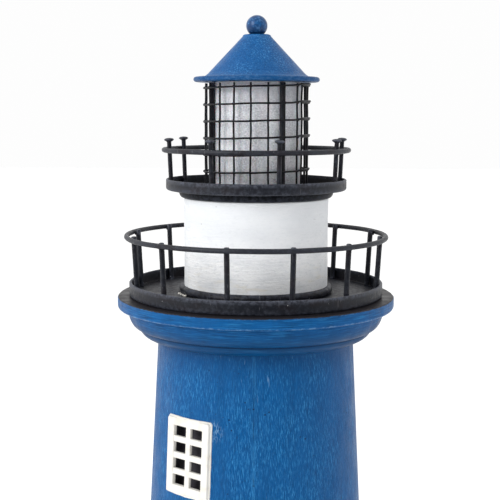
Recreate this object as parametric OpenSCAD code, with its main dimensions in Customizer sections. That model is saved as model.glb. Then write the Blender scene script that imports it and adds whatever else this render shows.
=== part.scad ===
// Lighthouse ornament: a painted wooden tower with a moulded cornice, a railed lower gallery, a white
// drum, a railed upper gallery and a wire-caged lantern under a turned roof that lifts off.
// Millimetres. +Z is up, the origin is the middle of the underside, and -Y is the front.
// Angles are turned from the front, positive to the right.

/* [Tower] */
// Height of the tapered tower, from the plinth to the cornice
tower_h = 225; // [190:1:280]
// Radius of the tower under the cornice
tower_top_r = 38.1; // [34:0.1:46]
// Lean of the tower wall from the vertical, in degrees
tower_lean = 3; // [1.5:0.1:5]
// Turn of the glue line between the two halves of the tower, in degrees
seam_turn = -1; // [-20:1:20]

/* [Plinth] */
// Height of the plinth
plinth_h = 16.5; // [12:0.5:25]
// How far the plinth reaches past the foot of the tower
plinth_ledge = 11.5; // [6:0.5:20]
// Radius of the plinth's rounded top edge
plinth_round = 7; // [3:0.5:9]
// Thickness of the felt under the plinth
felt_t = 1.5; // [1:0.1:3]

/* [Cornice] */
// Height of the cornice's top band
band_h = 4.5; // [3.5:0.1:8]
// How far the top band reaches past the moulding under it
band_out = 3.9; // [2:0.1:6]
// Height of the large quarter round
ovolo_h = 7.4; // [5:0.1:12]
// How far the large quarter round swells past the small one
ovolo_out = 3.9; // [3:0.1:8]
// Height of the small quarter round
bead_h = 4.3; // [3:0.1:8]
// How far the small quarter round swells past the tower
bead_out = 7.8; // [4:0.1:10]

/* [Windows] */
// Width of one pane
pane_w = 5.8; // [4.5:0.1:8]
// Height of one pane
pane_h = 3.9; // [3:0.1:6]
// Panes across a window
pane_columns = 2; // [1:1:3]
// Panes up a window
pane_rows = 4; // [2:1:6]
// Width of the bars between the panes
muntin_w = 2.3; // [1:0.1:3]
// Width of the window's outer frame
sash_w = 3.1; // [2:0.1:5]
// Thickness of the window frame, let into the wall
sash_t = 1.7; // [1.5:0.1:3]
// How far the window frame stands out from the middle of the wall
sash_proud = 0.2; // [0:0.1:1]
// Turn of the row of windows and of the door
window_turn = -39; // [-60:0.5:60]
// Drop from the top of the tower to the top of the upper window
window_drop = 26; // [15:0.5:50]
// Distance from one window down to the next
window_pitch = 78; // [50:1:90]

/* [Door] */
// Width of the door panel
door_w = 20; // [14:0.5:26]
// Height of the door panel
door_h = 42; // [30:0.5:50]
// Planks across the door panel
door_planks = 4; // [2:1:6]

/* [Lower gallery] */
// Bare ledge of the cornice outside the lower tray
gallery_ledge = 4.5; // [2:0.1:10]
// Height of the lower tray's rim
lower_rim_h = 5.3; // [4:0.1:8]
// Thickness of the lower tray's metal
lower_sheet = 1; // [0.6:0.1:2]
// Balusters round the lower gallery
baluster_count = 12; // [8:1:16]
// Turn of the first baluster
baluster_turn = 15; // [0:1:29]
// Diameter of the balusters
baluster_wire = 2; // [1.5:0.1:3]
// Outward lean of the balusters, in degrees
baluster_lean = 3.2; // [0:0.1:5]
// Height of the lower rail's middle above the cornice
lower_rail_z = 22.9; // [16:0.1:30]
// Diameter of the wire of both rails
rail_wire = 1.9; // [1.5:0.1:3]

/* [Drum] */
// Radius of the drum
drum_r = 27.9; // [24:0.1:33.5]
// Height of the drum
drum_h = 36.9; // [28:0.1:50]
// Width of the bead round the drum's foot
foot_ring_w = 1.9; // [1.2:0.1:3]
// Height of the bead round the drum's foot
foot_ring_h = 3; // [2:0.1:5]

/* [Upper gallery] */
// How far the collar reaches past the drum
collar_out = 1.9; // [1:0.1:4]
// Height of the collar
collar_h = 2.9; // [2:0.1:6]
// How far the upper tray reaches past the drum
upper_tray_out = 6.9; // [5:0.1:12]
// Height of the upper tray's rim
upper_rim_h = 4.2; // [3:0.1:6]
// Thickness of the upper tray's metal
upper_sheet = 0.8; // [0.6:0.1:1.5]
// Nail posts round the upper gallery
nail_count = 8; // [6:1:12]
// Turn of the first nail post
nail_turn = -31; // [-44:1:44]
// Diameter of a nail post's shank
nail_wire = 1.7; // [1.2:0.1:2.5]
// Diameter of a nail post's head
nail_head = 3.7; // [3:0.1:5]
// Height of a nail post above the tray's floor
nail_h = 19.2; // [16:0.1:26]
// Outward lean of the nail posts, in degrees
nail_lean = 2.5; // [0:0.1:4]
// Height of the upper rail's middle above the tray's floor
upper_rail_z = 14.5; // [10:0.1:17]

/* [Lantern] */
// Outer radius of the frosted sleeve
sleeve_r = 17.1; // [14:0.1:20.5]
// Thickness of the frosted sleeve
sleeve_wall = 1.45; // [1:0.05:2.5]
// Height of the frosted sleeve
sleeve_h = 40.3; // [33:0.1:48]
// Corner posts of the cage
post_count = 4; // [3:1:6]
// Turn of the first corner post
post_turn = 32; // [0:1:89]
// Diameter of the corner posts
post_wire = 2.1; // [1.5:0.1:3]
// Diameter of the mesh wire
mesh_wire = 0.7; // [0.5:0.05:1]
// Upright wires round the mesh
upright_count = 19; // [14:1:24]
// Turn of the first upright wire
upright_turn = -6.5; // [-9:0.5:9]
// Height from one mesh hoop to the next
hoop_pitch = 6.35; // [4:0.05:8]
// Drop from the eaves to the top hoop
hoop_drop = 1.8; // [1.2:0.1:4]
// Tilt of the mesh hoops, in degrees
hoop_tilt = 1.4; // [0:0.1:2]
// Turn of the place where the mesh's two ends overlap
mesh_seam_turn = 69; // [0:1:359]
// Angle over which the mesh's two ends overlap
mesh_seam_span = 19; // [8:1:30]

/* [Roof] */
// Thickness of the roof's brim
brim_t = 1.9; // [1.5:0.1:4]
// How far the brim reaches past the mesh
brim_out = 3.6; // [2:0.1:6]
// Width of the brim's ledge outside the cone
brim_ledge = 4.3; // [3:0.1:7]
// Height of the cone above the brim
cone_h = 16; // [10:0.1:30]
// Radius of the flat top of the cone
cone_top_r = 5.5; // [4.8:0.1:8]
// Radius of the ball
ball_r = 4.05; // [3:0.05:4.75]
// How deep the ball sits in the top of the cone
ball_sink = 0.8; // [0.3:0.05:1.2]
// Depth of the plug that locates the roof in the sleeve
plug_h = 5; // [3:0.1:8]

/* [Tea light] */
// Gap between the tea light and the sleeve
light_gap = 2; // [1:0.1:4]
// Height of the tea light's cup
cup_h = 14; // [11:0.1:16]
// Height of the flame above the cup
flame_h = 12; // [8:0.1:13]
// Travel of the switch
switch_travel = 2; // [1:0.1:3]

/* [Hidden] */

// Roundness of turned pieces, of wires and of small details
TURNED = 128;
WIRE = 32;
// Errors of hand fitting, in degrees, of the balusters, the nail posts and the corner posts in turn
BALUSTER_ERRORS = [0.5, -1.5, 3, 2, 1, 0, 0, 3.5, 2, 2, 0, 2.5];
NAIL_ERRORS = [1.5, 0, 3, -6, 0, 0, 0.5, -3];
POST_ERRORS = [0, 0, 0, -10];
// Longer than any piece, for cutting with
BEYOND = 500;
// How far a cut runs past the face it opens
OVERCUT = 1;
// Gap left at a weld, a glued face or a soldered touch, round a dowel or a screw, and round the roof's plug
WELD_GAP = 0.03;
DOWEL_GAP = 0.05;
SCREW_GAP = 0.02;
PLUG_GAP = 0.3;
// How deep the mesh's two sets of wires melt into each other where they cross
WELD_BITE = 0.1;
// Steps in a moulding's quarter round
ROUND_STEPS = 8;

// Heights, from the ground up
plinth_z = felt_t;
tower_z = plinth_z + plinth_h;
cornice_z = tower_z + tower_h;
band_z = cornice_z + bead_h + ovolo_h;
gallery_z = band_z + band_h;
lower_floor_z = gallery_z + lower_sheet;
drum_top_z = lower_floor_z + drum_h;
tray_z = drum_top_z + collar_h;
upper_floor_z = tray_z + upper_sheet;
eaves_z = upper_floor_z + sleeve_h;
cone_z = eaves_z + brim_t;
cone_top_z = cone_z + cone_h;
ball_z = cone_top_z + ball_r - ball_sink;

// Tower, plinth and cornice
tower_foot_r = tower_top_r + tower_h * tan(tower_lean);
plinth_r = tower_foot_r + plinth_ledge;
plinth_sharp = 1;
felt_in = 2;
ovolo_r = tower_top_r + bead_out + ovolo_out;
band_r = ovolo_r + band_out;
band_round = 1.1;
band_sharp = 0.5;
fillet_step = 0.6;
dowel_r = 6;
dowel_hole_r = dowel_r + DOWEL_GAP;
dowel_room = 1;
foot_dowel_in_plinth = 10;
foot_dowel_in_tower = 25;
head_dowel_in_tower = 22;
head_dowel_in_drum = 18;
plinth_screw_count = 4;
plinth_screw_in = 18;
plinth_screw_turn = 45;
plinth_screw_r = 2;
plinth_screw_head_r = 4;
plinth_screw_l = 36;
screw_room = 0.5;

// Windows and door
window_w = pane_columns * pane_w + (pane_columns - 1) * muntin_w + 2 * sash_w;
window_h = pane_rows * pane_h + (pane_rows - 1) * muntin_w + 2 * sash_w;
window_corner = 1;
muntin_back = 0.2;
seat_margin = 0.2;
pocket_lip = 1.2;
pocket_depth = 4;
upper_window_z = cornice_z - window_drop - window_h / 2;
lower_window_z = upper_window_z - window_pitch;
back_window_z = upper_window_z - window_pitch / 2;
back_turn = window_turn + 180;
door_jamb = 3;
door_proud = 2.2;
door_lift = 0.5;
door_fit = 0.1;
door_panel_t = 2.4;
door_groove = 0.6;
knob_r = 1.5;
knob_in = 3.2;
knob_out = 2.1;
door_frame_w = door_w + 2 * (door_jamb + door_fit);
door_frame_h = door_h + door_jamb + door_fit;
door_z = tower_z + door_lift + door_frame_h / 2;

// Lower gallery
lower_tray_r = band_r - gallery_ledge;
lower_rim_in_r = lower_tray_r - lower_sheet;
tray_round = 1;
rim_round = 0.3;
rail_r = rail_wire / 2;
// The balusters' outer faces touch the rim's inner lip and the inside of the rail
baluster_face_r = lower_rim_in_r - WELD_GAP;
baluster_face_z = gallery_z + lower_rim_h;
lower_rail_height = gallery_z + lower_rail_z;
lower_rail_r = baluster_face_r + (rail_r + WELD_GAP
    + (lower_rail_height - baluster_face_z) * sin(baluster_lean)) / cos(baluster_lean);
baluster_r = baluster_wire / 2;
baluster_top_z = lower_rail_height + rail_r;
foot_ring_in_r = drum_r + WELD_GAP;
foot_ring_lip = 0.57;
drum_round = 0.6;

// Upper gallery
upper_tray_r = drum_r + upper_tray_out;
upper_rim_in_r = upper_tray_r - upper_sheet;
collar_r = drum_r + collar_out;
collar_foot_out = 0.3;
collar_lip_h = 0.7;
nail_r = nail_wire / 2;
nail_head_r = nail_head / 2;
nail_head_flare = 0.6;
nail_head_lip = 0.2;
nail_head_dome = 0.7;
// The nail posts touch the rim's inner lip and the inside of the rail, as the balusters do
nail_face_r = upper_rim_in_r - WELD_GAP;
nail_face_z = tray_z + upper_rim_h;
upper_rail_height = upper_floor_z + upper_rail_z;
upper_rail_r = nail_face_r + (rail_r + WELD_GAP
    + (upper_rail_height - nail_face_z) * sin(nail_lean)) / cos(nail_lean);
tray_screw_count = 3;
tray_screw_ring_r = 8;
tray_screw_r = 1.2;
tray_screw_head_r = 2.6;
tray_screw_l = 14;

// Lantern
sleeve_in_r = sleeve_r - sleeve_wall;
post_r = post_wire / 2;
post_touch = 0.02;
post_ring_r = sleeve_r + post_touch + post_r;
post_short = 0.3;
mesh_r = mesh_wire / 2;
upright_ring_r = post_ring_r + post_r + post_touch + mesh_r;
upright_short = 0.5;
hoop_ring_r = upright_ring_r + mesh_wire - WELD_BITE;
hoop_rise = hoop_ring_r * sin(hoop_tilt);
hoop_count = floor((sleeve_h - hoop_drop - hoop_rise - mesh_wire) / hoop_pitch) + 1;
upright_turns = concat(
    [for (i = [0:upright_count - 1]) upright_turn + i * 360 / upright_count],
    [mesh_seam_turn - mesh_seam_span / 2, mesh_seam_turn + mesh_seam_span / 2]
);

// Roof
brim_r = hoop_ring_r + mesh_r + brim_out;
cone_r = brim_r - brim_ledge;
cone_shoulder = 0.8;
cone_fillet = 1.2;
cone_fillet_foot = 0.3;
plug_r = sleeve_in_r - PLUG_GAP;
plug_bevel = 0.8;
pin_r = 0.9;
pin_in_roof = 8;
pin_in_ball = 5;

// Tea light
light_r = sleeve_in_r - light_gap;
cup_wall = 1.2;
cup_round = 1.5;
base_t = 1.2;
base_lift = 1.5;
flame_r = 4.5;
flame_foot_r = 3.6;
flame_foot_h = 1.6;
led_r = 1.5;
led_h = 5;
led_leg_l = 3;
led_leg_w = 0.4;
led_play = 0.6;
switch_w = 2.4;
switch_l = 3;
switch_slot_gap = 0.15;
switch_flange = 0.6;
switch_flange_t = 0.8;
switch_out = 0.9;
switch_room = 0.2;
// The switch sits as far out as its flange's corners allow at both ends of its travel, the cell inside it
switch_half_w = switch_w / 2 + switch_flange;
switch_reach = (switch_l + switch_travel) / 2 + switch_flange;
switch_at = sqrt(pow(light_r - cup_wall - switch_room, 2) - pow(switch_reach, 2)) - switch_half_w;
cell_r = min(8, switch_at - switch_half_w - switch_room);
cell_t = 3.2;

// ---- Shared shapes ----

// A quarter round that starts upright at [r, z] and ends level, dr further in and dz lower
function quarter_round(r, z, dr, dz) =
    [for (i = [0:ROUND_STEPS])
        let (bend = 90 * i / ROUND_STEPS) [r - dr * (1 - cos(bend)), z - dz * sin(bend)]];

// The same quarter round, followed from its level end up to its upright start
function quarter_up(r, z, dr, dz) =
    let (down = quarter_round(r, z, dr, dz)) [for (i = [ROUND_STEPS:-1:0]) down[i]];

// A quarter round over a top edge, from the upright side at [r, z] up and in
function edge_over(r, z, dr, dz) =
    [for (i = [0:ROUND_STEPS])
        let (bend = 90 * i / ROUND_STEPS) [r - dr * (1 - cos(bend)), z + dz * sin(bend)]];

module turned(outline) {
    rotate_extrude($fn = TURNED) polygon(outline);
}

module ring(ring_r, wire_r) {
    rotate_extrude($fn = TURNED) translate([ring_r, 0]) circle(r = wire_r, $fn = WIRE);
}

// The error of hand fitting of the i-th piece of a ring, or none past the end of its list
function error_of(errors, i) = i <= len(errors) ? errors[i - 1] : 0;

module around(turn, r) {
    rotate([0, 0, turn]) translate([0, -r, 0]) children();
}

// A dish of sheet metal: a flat floor with an upright rim
module dish(r, rim_h, sheet) {
    turned(concat(
        [[0, 0]],
        quarter_up(r, tray_round, tray_round, tray_round),
        [[r, rim_h - rim_round], [r - rim_round, rim_h], [r - sheet, rim_h], [r - sheet, sheet], [0, sheet]]
    ));
}

// A countersunk screw with its head's face at z = 0, pointing up
module screw(r, head_r, l) {
    head_h = head_r - r;
    slot_w = head_r / 4;
    slot_l = head_r * 1.1;
    slot_deep = head_h * 0.6;
    point_l = 2 * r;
    point_r = r / 4;
    difference() {
        union() {
            cylinder(h = head_h, r1 = head_r, r2 = r, $fn = WIRE);
            cylinder(h = l - point_l, r = r, $fn = WIRE);
            translate([0, 0, l - point_l])
                cylinder(h = point_l, r1 = r, r2 = point_r, $fn = WIRE);
        }
        for (turn = [0, 90])
            rotate([0, 0, turn]) translate([-slot_l / 2, -slot_w / 2, -OVERCUT])
                cube([slot_l, slot_w, OVERCUT + slot_deep]);
    }
}

// What a screw needs taken out of the pieces it passes through
module screw_hole(r, head_r, l) {
    head_h = head_r - r;
    translate([0, 0, -SCREW_GAP])
        cylinder(h = head_h, r1 = head_r + SCREW_GAP * 2, r2 = r + SCREW_GAP * 2, $fn = WIRE);
    translate([0, 0, -OVERCUT]) cylinder(h = l + OVERCUT + screw_room, r = r + SCREW_GAP, $fn = WIRE);
}

module plinth_screw_places() {
    for (i = [0:plinth_screw_count - 1])
        around(plinth_screw_turn + i * 360 / plinth_screw_count, tower_foot_r - plinth_screw_in)
            translate([0, 0, plinth_z]) children();
}

module tray_screw_places() {
    for (i = [0:tray_screw_count - 1])
        around(i * 360 / tray_screw_count, tray_screw_ring_r)
            translate([0, 0, upper_floor_z]) mirror([0, 0, 1]) children();
}

module cup_of_dowel(from_z, to_z) {
    translate([0, 0, from_z]) cylinder(h = to_z - from_z, r = dowel_hole_r, $fn = TURNED);
}

// Puts its children against the tower's wall: x along the wall, y into it and z up its slope
module on_wall(turn, z) {
    r = tower_foot_r - (z - tower_z) * tan(tower_lean);
    around(turn, r) translate([0, 0, z]) rotate([-tower_lean, 0, 0]) children();
}

// How far a flat piece of width w must sink in the round wall for its edges to touch
function seat_depth(w, z) =
    let (r = tower_foot_r - (z - tower_z) * tan(tower_lean)) r - sqrt(r * r - w * w / 4) + seat_margin;

window_seat = max(sash_t - sash_proud, seat_depth(window_w, upper_window_z + window_h / 2));
door_seat = seat_depth(door_frame_w, door_z + door_frame_h / 2);

// A plate standing on x and z, t thick from y = 0 outwards, with round corners
module plate(w, h, t, corner) {
    rotate([90, 0, 0]) linear_extrude(t) {
        square([w - 2 * corner, h], center = true);
        square([w, h - 2 * corner], center = true);
        for (x = [-1, 1], y = [-1, 1])
            translate([x * (w / 2 - corner), y * (h / 2 - corner)]) circle(r = corner, $fn = WIRE);
    }
}

// Keeps what stands above height z of its child
module above(z) {
    difference() {
        children();
        translate([-BEYOND / 2, -BEYOND / 2, z - BEYOND]) cube(BEYOND);
    }
}

module window_cut(turn, z) {
    on_wall(turn, z) {
        translate([-window_w / 2 - DOWEL_GAP, window_seat - BEYOND, -window_h / 2 - DOWEL_GAP])
            cube([window_w + 2 * DOWEL_GAP, BEYOND, window_h + 2 * DOWEL_GAP]);
        translate([-window_w / 2 + pocket_lip, 0, -window_h / 2 + pocket_lip])
            cube([window_w - 2 * pocket_lip, window_seat + pocket_depth, window_h - 2 * pocket_lip]);
    }
}

module door_cut() {
    on_wall(window_turn, door_z)
        translate([-door_frame_w / 2 - DOWEL_GAP, door_seat - BEYOND, -door_frame_h / 2 - door_lift * 2])
            cube([door_frame_w + 2 * DOWEL_GAP, BEYOND, door_frame_h + door_lift * 2 + DOWEL_GAP]);
}

// ---- Base and tower ----

module felt_pad() {
    color("dimgray") cylinder(h = felt_t, r = plinth_r - felt_in, $fn = TURNED);
}

module plinth() {
    color("steelblue") difference() {
        translate([0, 0, plinth_z]) turned(concat(
            [[0, 0]],
            quarter_up(plinth_r, plinth_sharp, plinth_sharp, plinth_sharp),
            edge_over(plinth_r, plinth_h - plinth_round, plinth_round, plinth_round),
            [[0, plinth_h]]
        ));
        cup_of_dowel(tower_z - foot_dowel_in_plinth, tower_z + OVERCUT);
        plinth_screw_places() screw_hole(plinth_screw_r, plinth_screw_head_r, plinth_screw_l);
    }
}

module plinth_screws() {
    color("silver") plinth_screw_places() screw(plinth_screw_r, plinth_screw_head_r, plinth_screw_l);
}

module foot_dowel() {
    color("burlywood") translate([0, 0, tower_z - foot_dowel_in_plinth])
        cylinder(h = foot_dowel_in_plinth + foot_dowel_in_tower, r = dowel_r, $fn = TURNED);
}

// One half of the tower: side is 1 for the right half and -1 for the left
module tower_half(side) {
    color("steelblue") difference() {
        intersection() {
            translate([0, 0, tower_z]) cylinder(h = tower_h, r1 = tower_foot_r, r2 = tower_top_r, $fn = TURNED);
            rotate([0, 0, seam_turn]) translate([(side - 1) * BEYOND / 2, -BEYOND / 2, 0]) cube(BEYOND);
        }
        cup_of_dowel(tower_z - OVERCUT, tower_z + foot_dowel_in_tower + dowel_room);
        cup_of_dowel(cornice_z - head_dowel_in_tower - dowel_room, cornice_z + OVERCUT);
        plinth_screw_places() screw_hole(plinth_screw_r, plinth_screw_head_r, plinth_screw_l);
        window_cut(window_turn, upper_window_z);
        window_cut(window_turn, lower_window_z);
        window_cut(back_turn, back_window_z);
        door_cut();
    }
}

// ---- Windows and door ----

module window(turn, z) {
    color("white") on_wall(turn, z) translate([0, window_seat - WELD_GAP, 0]) difference() {
        plate(window_w, window_h, sash_t, window_corner);
        for (column = [0:pane_columns - 1], row = [0:pane_rows - 1])
            translate([
                -window_w / 2 + sash_w + column * (pane_w + muntin_w),
                -BEYOND / 2,
                -window_h / 2 + sash_w + row * (pane_h + muntin_w)
            ]) cube([pane_w, BEYOND, pane_h]);
        translate([-window_w / 2 + sash_w, -sash_t - OVERCUT, -window_h / 2 + sash_w])
            cube([window_w - 2 * sash_w, OVERCUT + muntin_back, window_h - 2 * sash_w]);
    }
}

module door_frame() {
    color("white") on_wall(window_turn, door_z) translate([0, door_seat - WELD_GAP, 0]) difference() {
        translate([-door_frame_w / 2, -door_seat - door_proud, -door_frame_h / 2])
            cube([door_frame_w, door_seat + door_proud, door_frame_h]);
        translate([-door_w / 2 - door_fit, -BEYOND / 2, -door_frame_h / 2 - OVERCUT])
            cube([door_w + 2 * door_fit, BEYOND, door_h + door_fit + OVERCUT]);
    }
}

module door_panel() {
    plank_w = door_w / door_planks;
    color("white") on_wall(window_turn, door_z)
        translate([0, door_seat - WELD_GAP, -door_frame_h / 2]) difference() {
            translate([-door_w / 2, -door_panel_t, 0]) cube([door_w, door_panel_t, door_h]);
            for (i = [1:door_planks - 1])
                translate([-door_w / 2 + i * plank_w - door_groove / 2, -door_panel_t - OVERCUT, -OVERCUT])
                    cube([door_groove, OVERCUT + door_groove, door_h + 2 * OVERCUT]);
        }
}

module door_knob() {
    color("dimgray") on_wall(window_turn, door_z)
        translate([door_w / 2 - knob_in, door_seat - WELD_GAP - door_panel_t, -door_jamb / 2])
            rotate([90, 0, 0]) {
                cylinder(h = knob_r, r = knob_r / 2, $fn = WIRE);
                translate([0, 0, knob_out]) sphere(r = knob_r, $fn = WIRE);
            }
}

// ---- Cornice and lower gallery ----

module cornice() {
    bead_top = bead_h - fillet_step / 2;
    ovolo_top = bead_h + ovolo_h;
    top = ovolo_top + band_h;
    color("steelblue") difference() {
        translate([0, 0, cornice_z]) turned(concat(
            [[0, 0]],
            quarter_up(tower_top_r + bead_out - fillet_step, bead_top, bead_out - 2 * fillet_step, bead_top),
            [[tower_top_r + bead_out - fillet_step, bead_h]],
            quarter_up(ovolo_r, ovolo_top, ovolo_out, ovolo_h),
            quarter_up(band_r, ovolo_top + band_round, band_round, band_round),
            [[band_r, top - band_sharp], [band_r - band_sharp, top], [0, top]]
        ));
        cup_of_dowel(cornice_z - OVERCUT, gallery_z + OVERCUT);
    }
}

module head_dowel() {
    color("burlywood") translate([0, 0, cornice_z - head_dowel_in_tower])
        cylinder(
            h = lower_floor_z + head_dowel_in_drum - cornice_z + head_dowel_in_tower,
            r = dowel_r, $fn = TURNED
        );
}

module lower_tray() {
    color([0.18, 0.18, 0.2]) difference() {
        translate([0, 0, gallery_z]) dish(lower_tray_r, lower_rim_h, lower_sheet);
        cup_of_dowel(gallery_z - OVERCUT, lower_floor_z + OVERCUT);
    }
}

module lower_rail() {
    color([0.18, 0.18, 0.2]) translate([0, 0, lower_rail_height]) ring(lower_rail_r, rail_r);
}

module baluster(i) {
    turn = baluster_turn + (i - 1) * 360 / baluster_count + error_of(BALUSTER_ERRORS, i);
    length_up = (baluster_top_z - baluster_face_z) / cos(baluster_lean);
    length_down = lower_rim_h + OVERCUT;
    color([0.18, 0.18, 0.2]) above(lower_floor_z)
        around(turn, baluster_face_r) translate([0, 0, baluster_face_z]) rotate([baluster_lean, 0, 0])
            translate([0, baluster_r, -length_down])
                cylinder(h = length_down + length_up, r = baluster_r, $fn = WIRE);
}

// ---- Drum and upper gallery ----

module drum() {
    color("whitesmoke") difference() {
        translate([0, 0, lower_floor_z]) turned(concat(
            [[0, 0], [drum_r, 0]],
            edge_over(drum_r, drum_h - drum_round, drum_round, drum_round),
            [[0, drum_h]]
        ));
        cup_of_dowel(lower_floor_z - OVERCUT, lower_floor_z + head_dowel_in_drum + dowel_room);
        tray_screw_places() screw_hole(tray_screw_r, tray_screw_head_r, tray_screw_l);
    }
}

module foot_ring() {
    out_r = foot_ring_in_r + foot_ring_w;
    half_h = foot_ring_h / 2;
    belly = foot_ring_w - foot_ring_lip;
    color([0.12, 0.12, 0.13]) translate([0, 0, lower_floor_z]) turned(concat(
        [[foot_ring_in_r, 0]],
        quarter_up(out_r, half_h, belly, half_h),
        edge_over(out_r, half_h, belly, half_h),
        [[foot_ring_in_r, foot_ring_h]]
    ));
}

module collar() {
    collar_swell = collar_h - collar_lip_h;
    color([0.12, 0.12, 0.13]) difference() {
        translate([0, 0, drum_top_z]) turned(concat(
            [[0, 0]],
            quarter_up(collar_r, collar_swell, collar_out - collar_foot_out, collar_swell),
            [[collar_r, collar_h], [0, collar_h]]
        ));
        tray_screw_places() screw_hole(tray_screw_r, tray_screw_head_r, tray_screw_l);
    }
}

module upper_tray() {
    color([0.18, 0.18, 0.2]) difference() {
        translate([0, 0, tray_z]) dish(upper_tray_r, upper_rim_h, upper_sheet);
        tray_screw_places() screw_hole(tray_screw_r, tray_screw_head_r, tray_screw_l);
    }
}

module tray_screws() {
    color("silver") tray_screw_places() screw(tray_screw_r, tray_screw_head_r, tray_screw_l);
}

module upper_rail() {
    color([0.18, 0.18, 0.2]) translate([0, 0, upper_rail_height]) ring(upper_rail_r, rail_r);
}

module nail_post(i) {
    turn = nail_turn + (i - 1) * 360 / nail_count + error_of(NAIL_ERRORS, i);
    length_down = upper_rim_h + OVERCUT;
    length_up = nail_h - (nail_face_z - upper_floor_z) - nail_head_flare - nail_head_lip - nail_head_dome;
    color([0.18, 0.18, 0.2]) above(upper_floor_z)
        around(turn, nail_face_r) translate([0, 0, nail_face_z]) rotate([nail_lean, 0, 0])
            translate([0, nail_r, 0]) {
                translate([0, 0, -length_down])
                    cylinder(h = length_down + length_up + nail_head_flare, r = nail_r, $fn = WIRE);
                translate([0, 0, length_up]) turned(concat(
                    [[0, 0], [nail_r, 0], [nail_head_r, nail_head_flare]],
                    edge_over(nail_head_r, nail_head_flare + nail_head_lip, nail_head_r, nail_head_dome)
                ));
            }
}

// ---- Lantern ----

module lamp_sleeve() {
    color([0.78, 0.79, 0.8]) translate([0, 0, upper_floor_z]) difference() {
        cylinder(h = sleeve_h, r = sleeve_r, $fn = TURNED);
        translate([0, 0, -OVERCUT]) cylinder(h = sleeve_h + 2 * OVERCUT, r = sleeve_in_r, $fn = TURNED);
    }
}

module cage_post(i) {
    turn = post_turn + (i - 1) * 360 / post_count + error_of(POST_ERRORS, i);
    color([0.1, 0.1, 0.11]) around(turn, post_ring_r)
        translate([0, 0, upper_floor_z]) cylinder(h = sleeve_h - post_short, r = post_r, $fn = WIRE);
}

module mesh_uprights() {
    color([0.1, 0.1, 0.11]) for (turn = upright_turns)
        around(turn, upright_ring_r) translate([0, 0, upper_floor_z])
            cylinder(h = sleeve_h - upright_short, r = mesh_r, $fn = WIRE);
}

module mesh_hoops() {
    color([0.1, 0.1, 0.11]) for (i = [0:hoop_count - 1])
        translate([0, 0, eaves_z - hoop_drop - i * hoop_pitch]) rotate([0, -hoop_tilt, 0])
            ring(hoop_ring_r, mesh_r);
}

// ---- Roof ----

module roof() {
    brim_round = brim_t / 2;
    color("steelblue") difference() {
        translate([0, 0, eaves_z]) turned(concat(
            [[0, 0]],
            quarter_up(brim_r, brim_round, brim_round, brim_round),
            edge_over(brim_r, brim_round, brim_round, brim_round),
            [[cone_r + cone_fillet, brim_t], [cone_r, brim_t + cone_fillet_foot]],
            [[cone_r - cone_fillet, brim_t + cone_fillet]],
            [[cone_top_r, brim_t + cone_h - cone_shoulder]],
            [[cone_top_r - cone_shoulder, brim_t + cone_h], [0, brim_t + cone_h]]
        ));
        translate([0, 0, ball_z]) sphere(r = ball_r + WELD_GAP, $fn = TURNED);
        translate([0, 0, cone_top_z - pin_in_roof]) cylinder(h = pin_in_roof, r = pin_r + SCREW_GAP, $fn = WIRE);
    }
}

module roof_plug() {
    color("burlywood") translate([0, 0, eaves_z - plug_h])
        turned([[0, 0], [plug_r - plug_bevel, 0], [plug_r, plug_bevel], [plug_r, plug_h], [0, plug_h]]);
}

module ball() {
    color("steelblue") difference() {
        translate([0, 0, ball_z]) sphere(r = ball_r, $fn = TURNED);
        translate([0, 0, ball_z - ball_r - OVERCUT])
            cylinder(h = OVERCUT + pin_in_ball, r = pin_r + SCREW_GAP, $fn = WIRE);
    }
}

module ball_pin() {
    from_z = cone_top_z - pin_in_roof + DOWEL_GAP;
    to_z = ball_z - ball_r + pin_in_ball - DOWEL_GAP;
    color("silver") translate([0, 0, from_z]) cylinder(h = to_z - from_z, r = pin_r, $fn = WIRE);
}

// ---- Tea light ----

module light_cup() {
    color("white") translate([0, 0, upper_floor_z]) difference() {
        turned(concat(
            [[0, 0], [light_r, 0]],
            edge_over(light_r, cup_h - cup_round, cup_round, cup_round),
            [[0, cup_h]]
        ));
        translate([0, 0, -OVERCUT])
            cylinder(h = cup_h - cup_wall + OVERCUT, r = light_r - cup_wall, $fn = TURNED);
        cylinder(h = cup_h + OVERCUT, r = flame_foot_r + DOWEL_GAP, $fn = TURNED);
    }
}

// The battery cover, with a long slot that the switch slides in
module light_base() {
    slot_w = switch_w + 2 * switch_slot_gap;
    slot_l = switch_l + switch_travel + 2 * switch_slot_gap;
    color("white") translate([0, 0, upper_floor_z + base_lift]) difference() {
        cylinder(h = base_t, r = light_r - cup_wall - DOWEL_GAP, $fn = TURNED);
        translate([-slot_l / 2, -switch_at - slot_w / 2, -OVERCUT])
            cube([slot_l, slot_w, base_t + 2 * OVERCUT]);
    }
}

module light_switch() {
    color("dimgray") translate([-switch_travel / 2, -switch_at, upper_floor_z + base_lift]) {
        translate([-switch_l / 2, -switch_w / 2, -switch_out])
            cube([switch_l, switch_w, switch_out + base_t + switch_slot_gap + switch_flange_t]);
        translate([-switch_l / 2 - switch_flange, -switch_w / 2 - switch_flange, base_t + switch_slot_gap])
            cube([switch_l + 2 * switch_flange, switch_w + 2 * switch_flange, switch_flange_t]);
    }
}

module light_cell() {
    color("silver") translate([0, 0, upper_floor_z + base_lift + base_t])
        cylinder(h = cell_t, r = cell_r, $fn = TURNED);
}

module light_led() {
    foot_z = upper_floor_z + cup_h - flame_foot_h;
    color("lightyellow") translate([0, 0, foot_z]) {
        cylinder(h = led_h - led_r, r = led_r, $fn = WIRE);
        translate([0, 0, led_h - led_r]) sphere(r = led_r, $fn = WIRE);
        for (x = [-1, 1])
            translate([x * led_r / 2 - led_leg_w / 2, -led_leg_w / 2, -led_leg_l])
                cube([led_leg_w, led_leg_w, led_leg_l + led_leg_w]);
    }
}

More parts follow.
